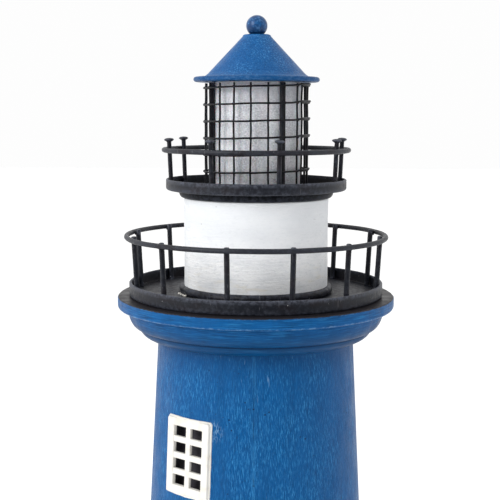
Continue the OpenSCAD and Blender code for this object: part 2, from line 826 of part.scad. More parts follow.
// A hollow flame that stands in the cup's mouth over the lamp
module light_flame() {
    tip_r = 0.6;
    steps = 10;
    hollow_r = led_r + led_play;
    hollow_h = flame_foot_h + led_h;
    rise = flame_h - tip_r;
    color("ivory") translate([0, 0, upper_floor_z + cup_h - flame_foot_h]) difference() {
        turned(concat(
            [[0, 0], [flame_foot_r, 0], [flame_foot_r, flame_foot_h]],
            [for (i = [0:steps])
                let (u = i / steps)
                [tip_r + (flame_foot_r - tip_r) * (1 - u) * (1 + u) + (flame_r - flame_foot_r) * sin(180 * sqrt(u)),
                 flame_foot_h + rise * u]],
            [[0, flame_foot_h + flame_h]]
        ));
        translate([0, 0, -OVERCUT]) cylinder(h = OVERCUT + hollow_h, r = hollow_r, $fn = WIRE);
    }
}

felt_pad();
plinth();
plinth_screws();
foot_dowel();
tower_half(-1);  // tower_left
tower_half(1);  // tower_right
window(window_turn, upper_window_z);  // window_upper
window(window_turn, lower_window_z);  // window_lower
window(back_turn, back_window_z);  // window_back
door_frame();
door_panel();
door_knob();
cornice();
head_dowel();
lower_tray();
lower_rail();
for (i = [1:baluster_count])
    baluster(i);
drum();
foot_ring();
collar();
upper_tray();
tray_screws();
upper_rail();
for (i = [1:nail_count])
    nail_post(i);
lamp_sleeve();
for (i = [1:post_count])
    cage_post(i);
mesh_uprights();
mesh_hoops();
roof();
roof_plug();
ball();
ball_pin();
light_cup();
light_base();
light_flame();
light_led();
light_cell();
light_switch();
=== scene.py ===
"""The looks of a lighthouse ornament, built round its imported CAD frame.

Sizes are in millimetres unless a name or a comment says otherwise, and become metres in the meshes.
+Z is up and the front is -Y. Turns round the axis are in degrees, from the front, growing to the right.
"""

import logging
import math
from collections.abc import Iterable, Sequence
from dataclasses import dataclass, field
from enum import Enum
from typing import Any

import bmesh
import bpy
from mathutils import Matrix, Vector, noise


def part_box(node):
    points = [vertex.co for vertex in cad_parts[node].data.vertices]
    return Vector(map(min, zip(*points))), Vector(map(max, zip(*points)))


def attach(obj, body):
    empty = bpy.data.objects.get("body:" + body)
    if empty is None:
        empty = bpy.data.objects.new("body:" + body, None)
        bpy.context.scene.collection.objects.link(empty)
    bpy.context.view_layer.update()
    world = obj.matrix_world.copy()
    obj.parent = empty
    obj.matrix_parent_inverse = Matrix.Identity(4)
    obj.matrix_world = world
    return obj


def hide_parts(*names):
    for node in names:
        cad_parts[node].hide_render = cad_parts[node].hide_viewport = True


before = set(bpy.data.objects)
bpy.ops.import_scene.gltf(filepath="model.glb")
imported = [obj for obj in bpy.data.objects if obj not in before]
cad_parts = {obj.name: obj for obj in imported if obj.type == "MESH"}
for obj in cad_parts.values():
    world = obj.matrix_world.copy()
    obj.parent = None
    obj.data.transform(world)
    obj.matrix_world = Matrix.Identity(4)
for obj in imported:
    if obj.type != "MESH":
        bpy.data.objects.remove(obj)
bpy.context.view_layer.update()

MM = 0.001
DOOR_TURN = -39.0
WOBBLE_SEED = 7
log = logging.getLogger("lighthouse")

Colour = tuple[float, float, float]
Outline = list[tuple[float, float]]
Socket = bpy.types.NodeSocket
Material = bpy.types.Material


def shown(red: int, green: int, blue: int) -> Colour:
    """A colour as it looks on a screen, each part from 0 to 255, as the linear one that a shader takes."""
    return tuple(
        c / 12.92 if c <= 0.04045 else ((c + 0.055) / 1.055) ** 2.4
        for c in (red / 255, green / 255, blue / 255)
    )


# ---- Node trees ----


class NodeMaker:
    """Adds nodes to a tree and joins them up."""

    def __init__(self, tree: bpy.types.NodeTree) -> None:
        """Keeps the tree that the nodes go into."""
        self.tree = tree

    def node(self, kind: str, inputs: dict[str | int, Any], **settings: Any) -> bpy.types.Node:
        """Adds one node.

        Args:
            kind: the node's type name.
            inputs: what each input gets, by name or place: a socket is linked, anything else is set.
            **settings: the node's own properties.

        Returns:
            The node.
        """
        made = self.tree.nodes.new(kind)
        for key, value in settings.items():
            setattr(made, key, value)
        for key, value in inputs.items():
            self.give(made.inputs[key], value)
        return made

    def give(self, taker: Socket, value: Any) -> None:
        """Links an input to a socket, or sets it to a plain value."""
        if isinstance(value, Socket):
            self.tree.links.new(value, taker)
        else:
            taker.default_value = value

    def math(self, operation: str, first: Any, second: Any = 0.0) -> Socket:
        """One step of arithmetic."""
        return self.node("ShaderNodeMath", {0: first, 1: second}, operation=operation).outputs[0]

    def times(self, first: Any, second: Any) -> Socket:
        """The product of two values."""
        return self.math("MULTIPLY", first, second)


class Recipe(NodeMaker):
    """One finish's material: colours laid over each other, and the patterns that the finishes share."""

    def __init__(self, name: str, colour: Colour) -> None:
        """Starts the material.

        Args:
            name: the material's name.
            colour: its colour before anything covers it.
        """
        self.material = bpy.data.materials.new(name)
        self.material.use_nodes = True
        super().__init__(self.material.node_tree)
        self.shader = self.tree.nodes["Principled BSDF"]
        own = self.node("ShaderNodeTexCoord", {}).outputs["Object"]
        self.mm = self.vector("MULTIPLY", {0: own, 1: (1 / MM, 1 / MM, 1 / MM)})
        self.colour: Any = (*colour, 1.0)
        self.normal: Socket | None = None

    def vector(self, operation: str, inputs: dict[str | int, Any]) -> Socket:
        """One step of vector arithmetic."""
        return self.node("ShaderNodeVectorMath", inputs, operation=operation).outputs["Vector"]

    def along(self, axis: str) -> Socket:
        """The object's own X, Y or Z, in millimetres."""
        return self.node("ShaderNodeSeparateXYZ", {0: self.mm}).outputs[axis]

    def scattered(self, size: tuple[float, float, float], seed: int, stride: tuple[float, float, float]) -> Socket:
        """Where a pattern is read: in steps of its features' size, moved on by a stride for each seed."""
        spread, shift = tuple(1 / s for s in size), tuple(seed * s for s in stride)
        return self.vector("MULTIPLY_ADD", {0: self.mm, 1: spread, 2: shift})

    def noise(
        self, size: tuple[float, float, float], detail: float = 4, rough: float = 0.55, seed: int = 0
    ) -> Socket:
        """A soft random pattern, around 0.5.

        Args:
            size: how long its features are along X, Y and Z.
            detail: how many finer layers it has.
            rough: how strong the finer layers are.
            seed: which of many such patterns it is.

        Returns:
            The pattern's value.
        """
        at = self.scattered(size, seed, (17.3, 5.1, 9.7))
        inputs = {"Vector": at, "Scale": 1.0, "Detail": detail, "Roughness": rough}
        return self.node("ShaderNodeTexNoise", inputs).outputs[0]

    def cells(self, size: tuple[float, float, float], seed: int) -> Socket:
        """The distance from the nearest of many scattered points, in steps of their spacing."""
        at = self.scattered(size, seed, (3.1, 7.7, 1.9))
        return self.node("ShaderNodeTexVoronoi", {"Vector": at, "Scale": 1.0}).outputs["Distance"]

    def between(self, value: Any, low: float, high: float, first: float = 0.0, last: float = 1.0) -> Socket:
        """A smooth step.

        Args:
            value: what is tested.
            low: where the step starts.
            high: where it ends.
            first: the result before the step.
            last: the result after it.

        Returns:
            The result.
        """
        inputs = {"Value": value, "From Min": low, "From Max": high, "To Min": first, "To Max": last}
        return self.node("ShaderNodeMapRange", inputs, interpolation_type="SMOOTHSTEP").outputs[0]

    def cover(self, share: Any, colour: Colour) -> None:
        """Lays a share of a colour over the colour so far."""
        inputs = {0: share, 6: self.colour, 7: (*colour, 1.0)}
        self.colour = self.node("ShaderNodeMix", inputs, data_type="RGBA").outputs[2]

    def marks(self, name: str) -> Socket:
        """A value that the mesh carries at its points, such as where an edge is rubbed."""
        return self.node("ShaderNodeAttribute", {}, attribute_name=name).outputs["Fac"]

    def relief(self, height: Socket, depth: float) -> None:
        """Raises the surface by a pattern.

        Args:
            height: the pattern, from 0 to 1.
            depth: how high 1 stands over 0, in millimetres.
        """
        inputs: dict[str | int, Any] = {"Strength": 1.0, "Distance": depth * MM, "Height": height}
        if self.normal is not None:
            inputs["Normal"] = self.normal
        self.normal = self.node("ShaderNodeBump", inputs).outputs["Normal"]

    def finish(self, roughness: Any, **fixed: Any) -> Material:
        """Joins the patterns to the shader.

        Args:
            roughness: how dull the surface is.
            **fixed: values set on the shader's own sockets, with _ for a space in their names.

        Returns:
            The material.
        """
        wanted = {"Base Color": self.colour, "Roughness": roughness}
        if self.normal is not None:
            wanted["Normal"] = self.normal
        for name, value in wanted.items():
            self.give(self.shader.inputs[name], value)
        for name, value in fixed.items():
            self.shader.inputs[name.replace("_", " ")].default_value = value
        return self.material


# ---- Finishes ----


@dataclass(frozen=True)
class BrushedPaint:
    """Satin paint brushed on wood: its grain shows in long streaks, its edges are worn pale with painted highlights
    along them, and painted shade lies low down and in its hollow corners.
    """

    name: str
    colour: Colour = shown(0, 79, 137)
    deep: Colour = shown(0, 58, 106)
    pale: Colour = shown(46, 124, 180)
    rubbed_and_highlight: Colour = shown(120, 160, 195)
    # Dark for the grain's hairs, the glue line and the pits, and painted shade at the ball's foot.
    grime: Colour = shown(2, 26, 58)
    # The hollow corners' colour: painted shade by default; the roof gives a pale one for a painted highlight.
    corner: Colour = shown(2, 26, 58)
    gloss: float = 0.15
    shade_below: float = -1000.0
    shade_over: float = 1.0
    streak: float = 0.3
    streak_long: float = 7.0
    streak_depth: float = 0.05
    rubbing_and_highlight: float = 0.45
    roughness: float = 0.4

    def paint(self, recipe: Recipe) -> None:
        """Lays the brushed colours on a material, with their relief."""
        wide, long = self.streak, self.streak_long
        streaks = recipe.noise((wide, wide, long), 5, 0.6, 1)
        hairs = recipe.noise((wide * 0.8, wide * 0.8, long * 0.42), 4, 0.62, 2)
        bands = recipe.noise((3.6, 3.6, 45), 3, 0.5, 4)
        clouds = recipe.noise((12, 12, 20), 3, 0.5, 3)
        recipe.cover(recipe.between(bands, 0.3, 0.6, 0.25, 0), self.deep)
        recipe.cover(recipe.between(streaks, 0.52, 0.34, 0, 0.5), self.deep)
        light = recipe.times(recipe.between(hairs, 0.5, 0.66), recipe.between(clouds, 0.35, 0.6, 0.35, 1.0))
        recipe.cover(light, self.pale)
        recipe.cover(recipe.times(recipe.between(hairs, 0.42, 0.28), 0.45), self.grime)
        recipe.relief(streaks, self.streak_depth)
        recipe.relief(hairs, self.streak_depth * 2)

    def wear(self, recipe: Recipe) -> None:
        """Paints shade low down, lays pale paint and painted highlights on the outer edges, and lays the corner
        colour in the hollow corners: painted shade in most paints, a painted highlight on the roof.
        """
        patches = recipe.noise((1.6, 1.6, 1.0), 5, 0.65, 5)
        worn = recipe.times(recipe.marks("wear"), recipe.between(patches, 0.34, 0.66, 0.4, 1.0))
        share = recipe.times(recipe.between(worn, 0.35, 1.0), self.rubbing_and_highlight)
        # Painted shade: darker low down, fading out upwards.
        low = recipe.between(recipe.along("Z"), self.shade_below, self.shade_below + self.shade_over, 0.75, 0.0)
        recipe.cover(low, self.deep)
        # Edges worn pale, and where the strength is high, as on the cornice, painted highlight lines too.
        recipe.cover(share, self.rubbed_and_highlight)
        # Painted shade in the hollow corners, in the corner colour; a painted highlight where that colour is pale.
        recipe.cover(recipe.times(recipe.marks("grime"), 0.8), self.corner)

    def make(self) -> Material:
        """Makes the material, whose sheen is uneven."""
        recipe = Recipe(self.name, self.colour)
        self.paint(recipe)
        self.wear(recipe)
        sheen = recipe.noise((5, 5, 9), 4, 0.6, 6)
        dull = recipe.between(sheen, 0.3, 0.7, self.roughness - 0.07, self.roughness + 0.1)
        return recipe.finish(dull, Specular_IOR_Level=self.gloss)


@dataclass(frozen=True)
class TowerPaint(BrushedPaint):
    """The tower's paint, with painted shade at its head under the cornice, the glue line between its halves, pits,
    scratches and dark window openings.
    """

    seam_turn: float = -1.0
    seam_width: float = 0.32
    foot_z: float = 18.0
    head_z: float = 243.0
    head_shade: float = 13.0
    foot_r: float = 49.89
    lean: float = 3.0
    skin: float = 0.5
    hollow: Colour = shown(66, 64, 70)
    smear_at: tuple[float, float, float] = (0.0, 0.0, 0.0)
    smear_r: float = 5.5

    def from_seam(self, recipe: Recipe) -> Socket:
        """How far a point of the front stands from the glue line, with a little waver."""
        turn = math.radians(self.seam_turn)
        across = recipe.math(
            "ADD",
            recipe.times(recipe.along("X"), math.cos(turn)),
            recipe.times(recipe.along("Y"), math.sin(turn)),
        )
        waver = recipe.times(recipe.math("SUBTRACT", recipe.noise((9, 9, 14), 3, 0.5, 9), 0.5), 0.5)
        return recipe.math("ABSOLUTE", recipe.math("ADD", across, waver))

    def seam(self, recipe: Recipe) -> Socket:
        """Draws the glue line and its pale lips, and returns how much of the line is at a point."""
        near = self.from_seam(recipe)
        lip = recipe.between(recipe.noise((2, 2, 12), 4, 0.6, 10), 0.4, 0.65, 0.05, 0.4)
        recipe.cover(recipe.times(recipe.between(near, 0.25, 0.9, 1, 0), lip), self.pale)
        line = recipe.between(near, self.seam_width * 0.4, self.seam_width, 1, 0)
        broken = recipe.between(recipe.noise((3, 3, 8), 4, 0.6, 11), 0.4, 0.65, 0.05, 0.45)
        recipe.cover(recipe.times(line, broken), self.grime)
        return line

    def scratches(self, recipe: Recipe) -> None:
        """Scratches the paint here and there, and more so round the smear of dried glue."""
        scratch = recipe.times(
            recipe.between(recipe.noise((0.5, 0.5, 7), 2, 0.5, 13), 0.7, 0.76),
            recipe.between(recipe.noise((18, 18, 22), 2, 0.5, 14), 0.5, 0.62),
        )
        recipe.cover(recipe.times(scratch, 0.6), self.rubbed_and_highlight)
        ends = {0: recipe.mm, 1: self.smear_at}
        away = recipe.node("ShaderNodeVectorMath", ends, operation="DISTANCE").outputs["Value"]
        smear = recipe.times(
            recipe.between(away, self.smear_r * 0.3, self.smear_r, 0.85, 0),
            recipe.between(recipe.noise((0.4, 0.4, 1.6), 3, 0.6, 15), 0.5, 0.62),
        )
        recipe.cover(smear, self.rubbed_and_highlight)

    def depth(self, recipe: Recipe) -> Socket:
        """How far a point is inside the leaning wall, beyond its skin."""
        x, y = recipe.along("X"), recipe.along("Y")
        radius = recipe.math("SQRT", recipe.math("ADD", recipe.times(x, x), recipe.times(y, y)))
        up = recipe.math("SUBTRACT", recipe.along("Z"), self.foot_z)
        rise = recipe.times(up, math.tan(math.radians(self.lean)))
        return recipe.math("SUBTRACT", self.foot_r - self.skin, recipe.math("ADD", radius, rise))

    def wear(self, recipe: Recipe) -> None:
        """Paints shade at the head under the cornice, then adds the glue line, the pits, the scratches and the dark
        openings.
        """
        # Painted shade: darker towards the top of the tower, under the cornice.
        head = recipe.between(recipe.along("Z"), self.head_z - self.head_shade, self.head_z, 0, 0.6)
        recipe.cover(head, self.deep)
        line = self.seam(recipe)
        pits = recipe.times(
            recipe.between(recipe.cells((2.2, 2.2, 2.0), 2), 0.1, 0.2, 1, 0),
            recipe.between(recipe.noise((14, 14, 12), 2, 0.5, 12), 0.56, 0.66),
        )
        recipe.cover(recipe.times(pits, 0.85), self.grime)
        self.scratches(recipe)
        recipe.cover(recipe.between(self.depth(recipe), 0.0, 0.9), self.hollow)
        recipe.relief(line, -0.05)
        recipe.relief(pits, -0.08)


@dataclass(frozen=True)
class CornicePaint(BrushedPaint):
    """The cornice's paint: blue on the mouldings and a ragged brown-black on the ledge under the tray."""

    top_z: float = 259.2
    ledge: Colour = shown(36, 33, 37)

    def wear(self, recipe: Recipe) -> None:
        """Lays pale paint and painted highlights on the edges, paints shade low down and in the hollow corners,
        then lays the dark paint on the ledge.
        """
        super().wear(recipe)
        ragged = recipe.times(recipe.math("SUBTRACT", recipe.noise((1.5, 1.5, 1.5), 4, 0.6, 17), 0.5), 0.5)
        height = recipe.math("ADD", recipe.along("Z"), ragged)
        recipe.cover(recipe.between(height, self.top_z - 0.42, self.top_z - 0.22), self.ledge)


@dataclass(frozen=True)
class MottledPaint(BrushedPaint):
    """The ball's paint: dabbed on by hand, thick and thin, with painted shade at its foot, where it sits on the
    roof.
    """

    foot_z: float = 358.0
    dabs: float = 1.5

    def paint(self, recipe: Recipe) -> None:
        """Lays the dabs on a material, with their relief."""
        dabs = recipe.noise((self.dabs, self.dabs, self.dabs), 4, 0.6, 21)
        recipe.cover(recipe.between(dabs, 0.4, 0.62, 1, 0), self.deep)
        recipe.cover(recipe.between(recipe.noise((0.9, 0.9, 0.9), 4, 0.6, 22), 0.5, 0.7, 0, 0.6), self.pale)
        # Painted shade at the ball's foot, where it sits on the roof.
        recipe.cover(recipe.between(recipe.along("Z"), self.foot_z, self.foot_z + 4, 0.9, 0.0), self.grime)
        recipe.relief(dabs, 0.12)


@dataclass(frozen=True)
class PlasterPaint:
    """Chalky white paint with faint brush marks, painted shade towards the top and cream stains from the foot."""

    name: str
    foot_z: float
    colour: Colour = shown(247, 248, 249)
    shade: Colour = shown(226, 229, 233)
    hollow: Colour = shown(208, 212, 217)
    stain: Colour = shown(222, 215, 196)
    speck: Colour = shown(120, 116, 108)

    def make(self) -> Material:
        """Makes the material."""
        recipe = Recipe(self.name, self.colour)
        strokes = recipe.noise((9, 9, 0.8), 5, 0.62, 31)
        chalk = recipe.noise((1.6, 1.6, 0.8), 5, 0.65, 32)
        recipe.cover(recipe.between(recipe.noise((11, 11, 6), 3, 0.5, 33), 0.35, 0.7, 0, 0.7), self.shade)
        recipe.cover(recipe.between(strokes, 0.5, 0.72, 0, 0.6), self.shade)
        recipe.cover(recipe.between(chalk, 0.52, 0.68, 0, 0.5), self.hollow)
        # Painted shade: darker towards the top, under the collar and the upper tray.
        recipe.cover(recipe.between(recipe.along("Z"), self.foot_z + 12, self.foot_z + 28, 0, 0.75), self.shade)
        low = recipe.between(recipe.along("Z"), self.foot_z + 5, self.foot_z + 18, 1, 0)
        runs = recipe.between(recipe.noise((9, 9, 2.2), 4, 0.6, 34), 0.52, 0.72, 0, 0.4)
        recipe.cover(recipe.times(low, runs), self.stain)
        specks = recipe.times(
            recipe.between(recipe.cells((3.4, 3.4, 3.4), 3), 0.05, 0.1, 0.55, 0),
            recipe.between(recipe.noise((9, 9, 9), 2, 0.5, 35), 0.5, 0.6),
        )
        recipe.cover(specks, self.speck)
        # Painted shade in the hollow corners, in the stain colour.
        recipe.cover(recipe.times(recipe.marks("grime"), 0.5), self.stain)
        recipe.relief(strokes, 0.25)
        recipe.relief(chalk, 0.2)
        return recipe.finish(recipe.between(chalk, 0.3, 0.7, 0.62, 0.8), Specular_IOR_Level=0.35)


@dataclass(frozen=True)
class TrimPaint:
    """White paint on small joinery: brushed along it, yellowed a little, and flecked with specks of dust."""

    name: str
    colour: Colour = shown(226, 224, 218)
    aged: Colour = shown(212, 206, 194)
    dust: Colour = shown(150, 152, 158)

    def make(self) -> Material:
        """Makes the material."""
        recipe = Recipe(self.name, self.colour)
        strokes = recipe.noise((0.5, 0.5, 5), 5, 0.6, 41)
        clouds = recipe.noise((5, 5, 4), 4, 0.55, 42)
        recipe.cover(recipe.between(clouds, 0.45, 0.75, 0, 0.7), self.aged)
        recipe.cover(recipe.between(recipe.noise((1.1, 1.1, 1.1), 6, 0.7, 43), 0.6, 0.75, 0, 0.4), self.dust)
        recipe.relief(strokes, 0.05)
        recipe.relief(clouds, 0.1)
        return recipe.finish(recipe.between(strokes, 0.3, 0.7, 0.4, 0.55), Specular_IOR_Level=0.45)


@dataclass(frozen=True)
class WornBlack:
    """Satin black on metal, with grey wisps where it is handled, bright edges and a few specks of dust."""

    name: str
    colour: Colour = shown(22, 25, 33)
    brown: Colour = shown(26, 22, 28)
    wisp: Colour = shown(78, 82, 94)
    bare: Colour = shown(140, 141, 146)
    dust: Colour = shown(205, 206, 208)
    wisps: float = 0.35
    grain: float = 0.45
    roughness: float = 0.42
    specks: float = 1.0
    gloss: float = 0.28

    def make(self) -> Material:
        """Makes the material."""
        recipe = Recipe(self.name, self.colour)
        haze = recipe.noise((self.grain * 3, self.grain * 3, self.grain * 3), 7, 0.68, 51)
        fine = recipe.noise((self.grain / 3, self.grain / 3, self.grain / 3), 4, 0.65, 52)
        recipe.cover(recipe.between(recipe.noise((9, 9, 7), 3, 0.5, 53), 0.45, 0.65, 0, 0.8), self.brown)
        worn = recipe.times(recipe.between(haze, 0.46, 0.7), recipe.between(fine, 0.35, 0.65, 0.25, 1.0))
        recipe.cover(recipe.times(worn, self.wisps), self.wisp)
        recipe.cover(recipe.times(recipe.marks("wear"), recipe.between(haze, 0.38, 0.62, 0.15, 0.9)), self.wisp)
        scratches = recipe.between(recipe.noise((0.25, 6, 6), 2, 0.5, 54), 0.71, 0.76, 0, 0.5)
        recipe.cover(recipe.times(scratches, self.specks), self.bare)
        dust = recipe.times(
            recipe.between(recipe.cells((1.9, 1.9, 1.9), 5), 0.05, 0.09, 1, 0),
            recipe.between(recipe.noise((6, 6, 6), 2, 0.5, 55), 0.56, 0.62, 0, self.specks),
        )
        recipe.cover(dust, self.dust)
        recipe.relief(haze, 0.05)
        recipe.relief(fine, 0.02)
        dull = recipe.between(haze, 0.35, 0.7, self.roughness - 0.06, self.roughness + 0.2)
        return recipe.finish(dull, Specular_IOR_Level=self.gloss)


@dataclass(frozen=True)
class FrostedPlastic:
    """The lantern's sleeve: pale grey plastic with a ground, speckled face and a painted shadow under the eave."""

    name: str
    colour: Colour = shown(203, 205, 211)
    speck: Colour = shown(142, 144, 152)
    bright: Colour = shown(248, 249, 252)
    eave_z: float = 330.0

    def make(self) -> Material:
        """Makes the material."""
        recipe = Recipe(self.name, self.colour)
        grit = recipe.noise((0.6, 0.6, 0.5), 2, 0.6, 61)
        recipe.cover(recipe.between(grit, 0.5, 0.68, 0, 0.55), self.speck)
        recipe.cover(recipe.between(grit, 0.46, 0.34, 0, 0.5), self.bright)
        recipe.cover(recipe.between(recipe.noise((5, 5, 9), 3, 0.5, 62), 0.45, 0.7, 0, 0.4), self.bright)
        # Painted shadow of the roof: darker towards the top, under the eave.
        recipe.cover(recipe.between(recipe.along("Z"), self.eave_z - 12, self.eave_z - 2, 0, 0.5), self.speck)
        recipe.relief(grit, 0.09)
        return recipe.finish(
            recipe.between(grit, 0.3, 0.7, 0.4, 0.58), Specular_IOR_Level=0.45, Subsurface_Weight=0.15,
            Subsurface_Scale=0.002, IOR=1.46)


@dataclass(frozen=True)
class Felt:
    """Short grey fibres pressed flat."""

    name: str
    colour: Colour = shown(58, 60, 62)
    fibre: Colour = shown(104, 106, 108)

    def make(self) -> Material:
        """Makes the material."""
        recipe = Recipe(self.name, self.colour)
        across = recipe.noise((3.0, 0.16, 0.3), 3, 0.6, 71)
        fuzz = recipe.math("MAXIMUM", across, recipe.noise((0.16, 3.0, 0.3), 3, 0.6, 72))
        recipe.cover(recipe.between(fuzz, 0.52, 0.75, 0, 0.8), self.fibre)
        recipe.cover(recipe.between(recipe.noise((8, 8, 3), 4, 0.6, 73), 0.5, 0.75, 0, 0.35), self.fibre)
        recipe.relief(fuzz, 0.16)
        return recipe.finish(0.95, Sheen_Weight=0.3, Sheen_Roughness=0.6, Specular_IOR_Level=0.2)


@dataclass(frozen=True)
class BareWood:
    """Turned beech: fine growth lines and short dark flecks along the grain."""

    name: str
    line: Colour = shown(168, 128, 84)
    colour: Colour = shown(206, 172, 124)
    fleck: Colour = shown(128, 92, 58)

    def make(self) -> Material:
        """Makes the material."""
        recipe = Recipe(self.name, self.line)
        rings = recipe.noise((2.2, 0.5, 30), 4, 0.55, 81)
        flecks = recipe.noise((0.22, 0.22, 2.6), 3, 0.6, 82)
        recipe.cover(recipe.between(rings, 0.4, 0.62), self.colour)
        recipe.cover(recipe.between(flecks, 0.6, 0.74, 0, 0.7), self.fleck)
        recipe.relief(flecks, 0.05)
        return recipe.finish(recipe.between(rings, 0.3, 0.7, 0.5, 0.64), Specular_IOR_Level=0.35)


@dataclass(frozen=True)
class BareMetal:
    """Plain metal with the fine lines that it was drawn or turned with, and dull patches."""

    name: str
    colour: Colour = shown(176, 178, 182)
    dull: Colour = shown(120, 121, 124)
    roughness: float = 0.3

    def make(self) -> Material:
        """Makes the material."""
        recipe = Recipe(self.name, self.colour)
        patches = recipe.noise((2.5, 2.5, 2.5), 5, 0.6, 92)
        recipe.cover(recipe.between(patches, 0.48, 0.7, 0, 0.8), self.dull)
        recipe.relief(recipe.noise((3, 3, 0.12), 4, 0.6, 91), 0.01)
        return recipe.finish(recipe.between(patches, 0.3, 0.75, self.roughness, self.roughness + 0.2), Metallic=1.0)


@dataclass(frozen=True)
class MouldedPlastic:
    """Moulded plastic with a fine spark-eroded grain and a little cloudiness."""

    name: str
    colour: Colour = shown(236, 236, 230)
    cloud: Colour = shown(218, 217, 208)
    roughness: float = 0.42
    glow: float = 0.0

    def make(self) -> Material:
        """Makes the material."""
        recipe = Recipe(self.name, self.colour)
        clouds = recipe.noise((4, 4, 4), 4, 0.55, 102)
        recipe.cover(recipe.between(clouds, 0.4, 0.7), self.cloud)
        recipe.relief(recipe.noise((0.18, 0.18, 0.18), 2, 0.5, 101), 0.015)
        rough = recipe.between(clouds, 0.3, 0.7, self.roughness, self.roughness + 0.1)
        return recipe.finish(rough, Subsurface_Weight=self.glow, Subsurface_Scale=0.003)


@dataclass(frozen=True)
class Paper:
    """The pale ground that the ornament stands on."""

    name: str = "studio_ground"
    colour: Colour = (0.94, 0.94, 0.94)
    tooth: Colour = (0.94 * 0.995, 0.94 * 0.995, 0.94 * 0.995)

    def make(self) -> Material:
        """Makes the material."""
        recipe = Recipe(self.name, self.colour)
        recipe.cover(recipe.between(recipe.noise((40, 40, 40), 3, 0.5, 111), 0.3, 0.7), self.tooth)
        return recipe.finish(0.9, Specular_IOR_Level=0.0, Emission_Color=(1, 1, 1, 1), Emission_Strength=0.25)


# ---- Outlines and meshes ----


class Corner(Enum):
    """Which way a quarter round runs, going up an outline."""

    UNDER = "from its level end below, out to its upright end"
    OVER = "from its upright end, over to its level end above"


def quarter(kind: Corner, radius: float, z: float, width: float, height: float, steps: int = 8) -> Outline:
    """A quarter round of a turned outline.

    Args:
        kind: which way it runs.
        radius: the radius at its upright end.
        z: the height of its upright end.
        width: how far in its level end is.
        height: how far up or down its level end is.
        steps: how many straight steps stand for it.

    Returns:
        Its points, going up the outline.
    """
    bends = [math.radians(90 * i / steps) for i in range(steps + 1)]
    way = -1 if kind is Corner.UNDER else 1
    points = [(radius - width * (1 - math.cos(b)), z + way * height * math.sin(b)) for b in bends]
    return points[::-1] if kind is Corner.UNDER else points


def spaced(outline: Outline, step: float) -> Outline:
    """An outline with points added so that none are further apart than step."""
    made = [outline[0]]
    for (r0, z0), (r1, z1) in zip(outline, outline[1:]):
        parts = max(1, math.ceil(math.hypot(r1 - r0, z1 - z0) / step))
        made += [(r0 + (r1 - r0) * i / parts, z0 + (z1 - z0) * i / parts) for i in range(1, parts + 1)]
    return made


def turnings(outline: Outline, reach: float) -> list[float]:
    """How sharply an outline turns round each of its points.

    Args:
        outline: the points.
        reach: how far to each side of a point the turn is measured.

    Returns:
        The turn in degrees at each point, positive round an outer edge and negative in a hollow corner.
    """
    lengths, headings = [0.0], []
    for (r0, z0), (r1, z1) in zip(outline, outline[1:]):
        lengths.append(lengths[-1] + math.hypot(r1 - r0, z1 - z0))
        headings.append(math.atan2(z1 - z0, r1 - r0))
    turns = []
    for at in lengths:
        total = 0.0
        for i in range(1, len(headings)):
            if abs(lengths[i] - at) <= reach:
                total += math.remainder(headings[i] - headings[i - 1], math.tau)
        turns.append(math.degrees(total))
    return turns


def uneven(point: Vector, amount: float, size: float, seed: float) -> float:
    """A smooth random distance for a point, up to amount, whose features are size long."""
    return amount * noise.noise(point / size + Vector((seed * 3.7, seed * 1.3, seed * 2.9)))


def add_marks(mesh: bpy.types.Mesh, name: str, values: Sequence[float]) -> None:
    """Stores one value for each point of a mesh."""
    mesh.attributes.new(name, "FLOAT", "POINT").data.foreach_set("value", values)


def smooth(mesh: bpy.types.Mesh, sharp: float = 38) -> None:
    """Shades a mesh smooth, apart from the edges that turn by more than sharp degrees."""
    mesh.polygons.foreach_set("use_smooth", [True] * len(mesh.polygons))
    mesh.set_sharp_from_angle(angle=math.radians(sharp))


def added(name: str, mesh: bpy.types.Mesh, finish: Material | None = None) -> bpy.types.Object:
    """Puts a mesh in the scene as an object, with its finish."""
    piece = bpy.data.objects.new(name, mesh)
    bpy.context.scene.collection.objects.link(piece)
    if finish is not None:
        mesh.materials.clear()
        mesh.materials.append(finish)
    return piece


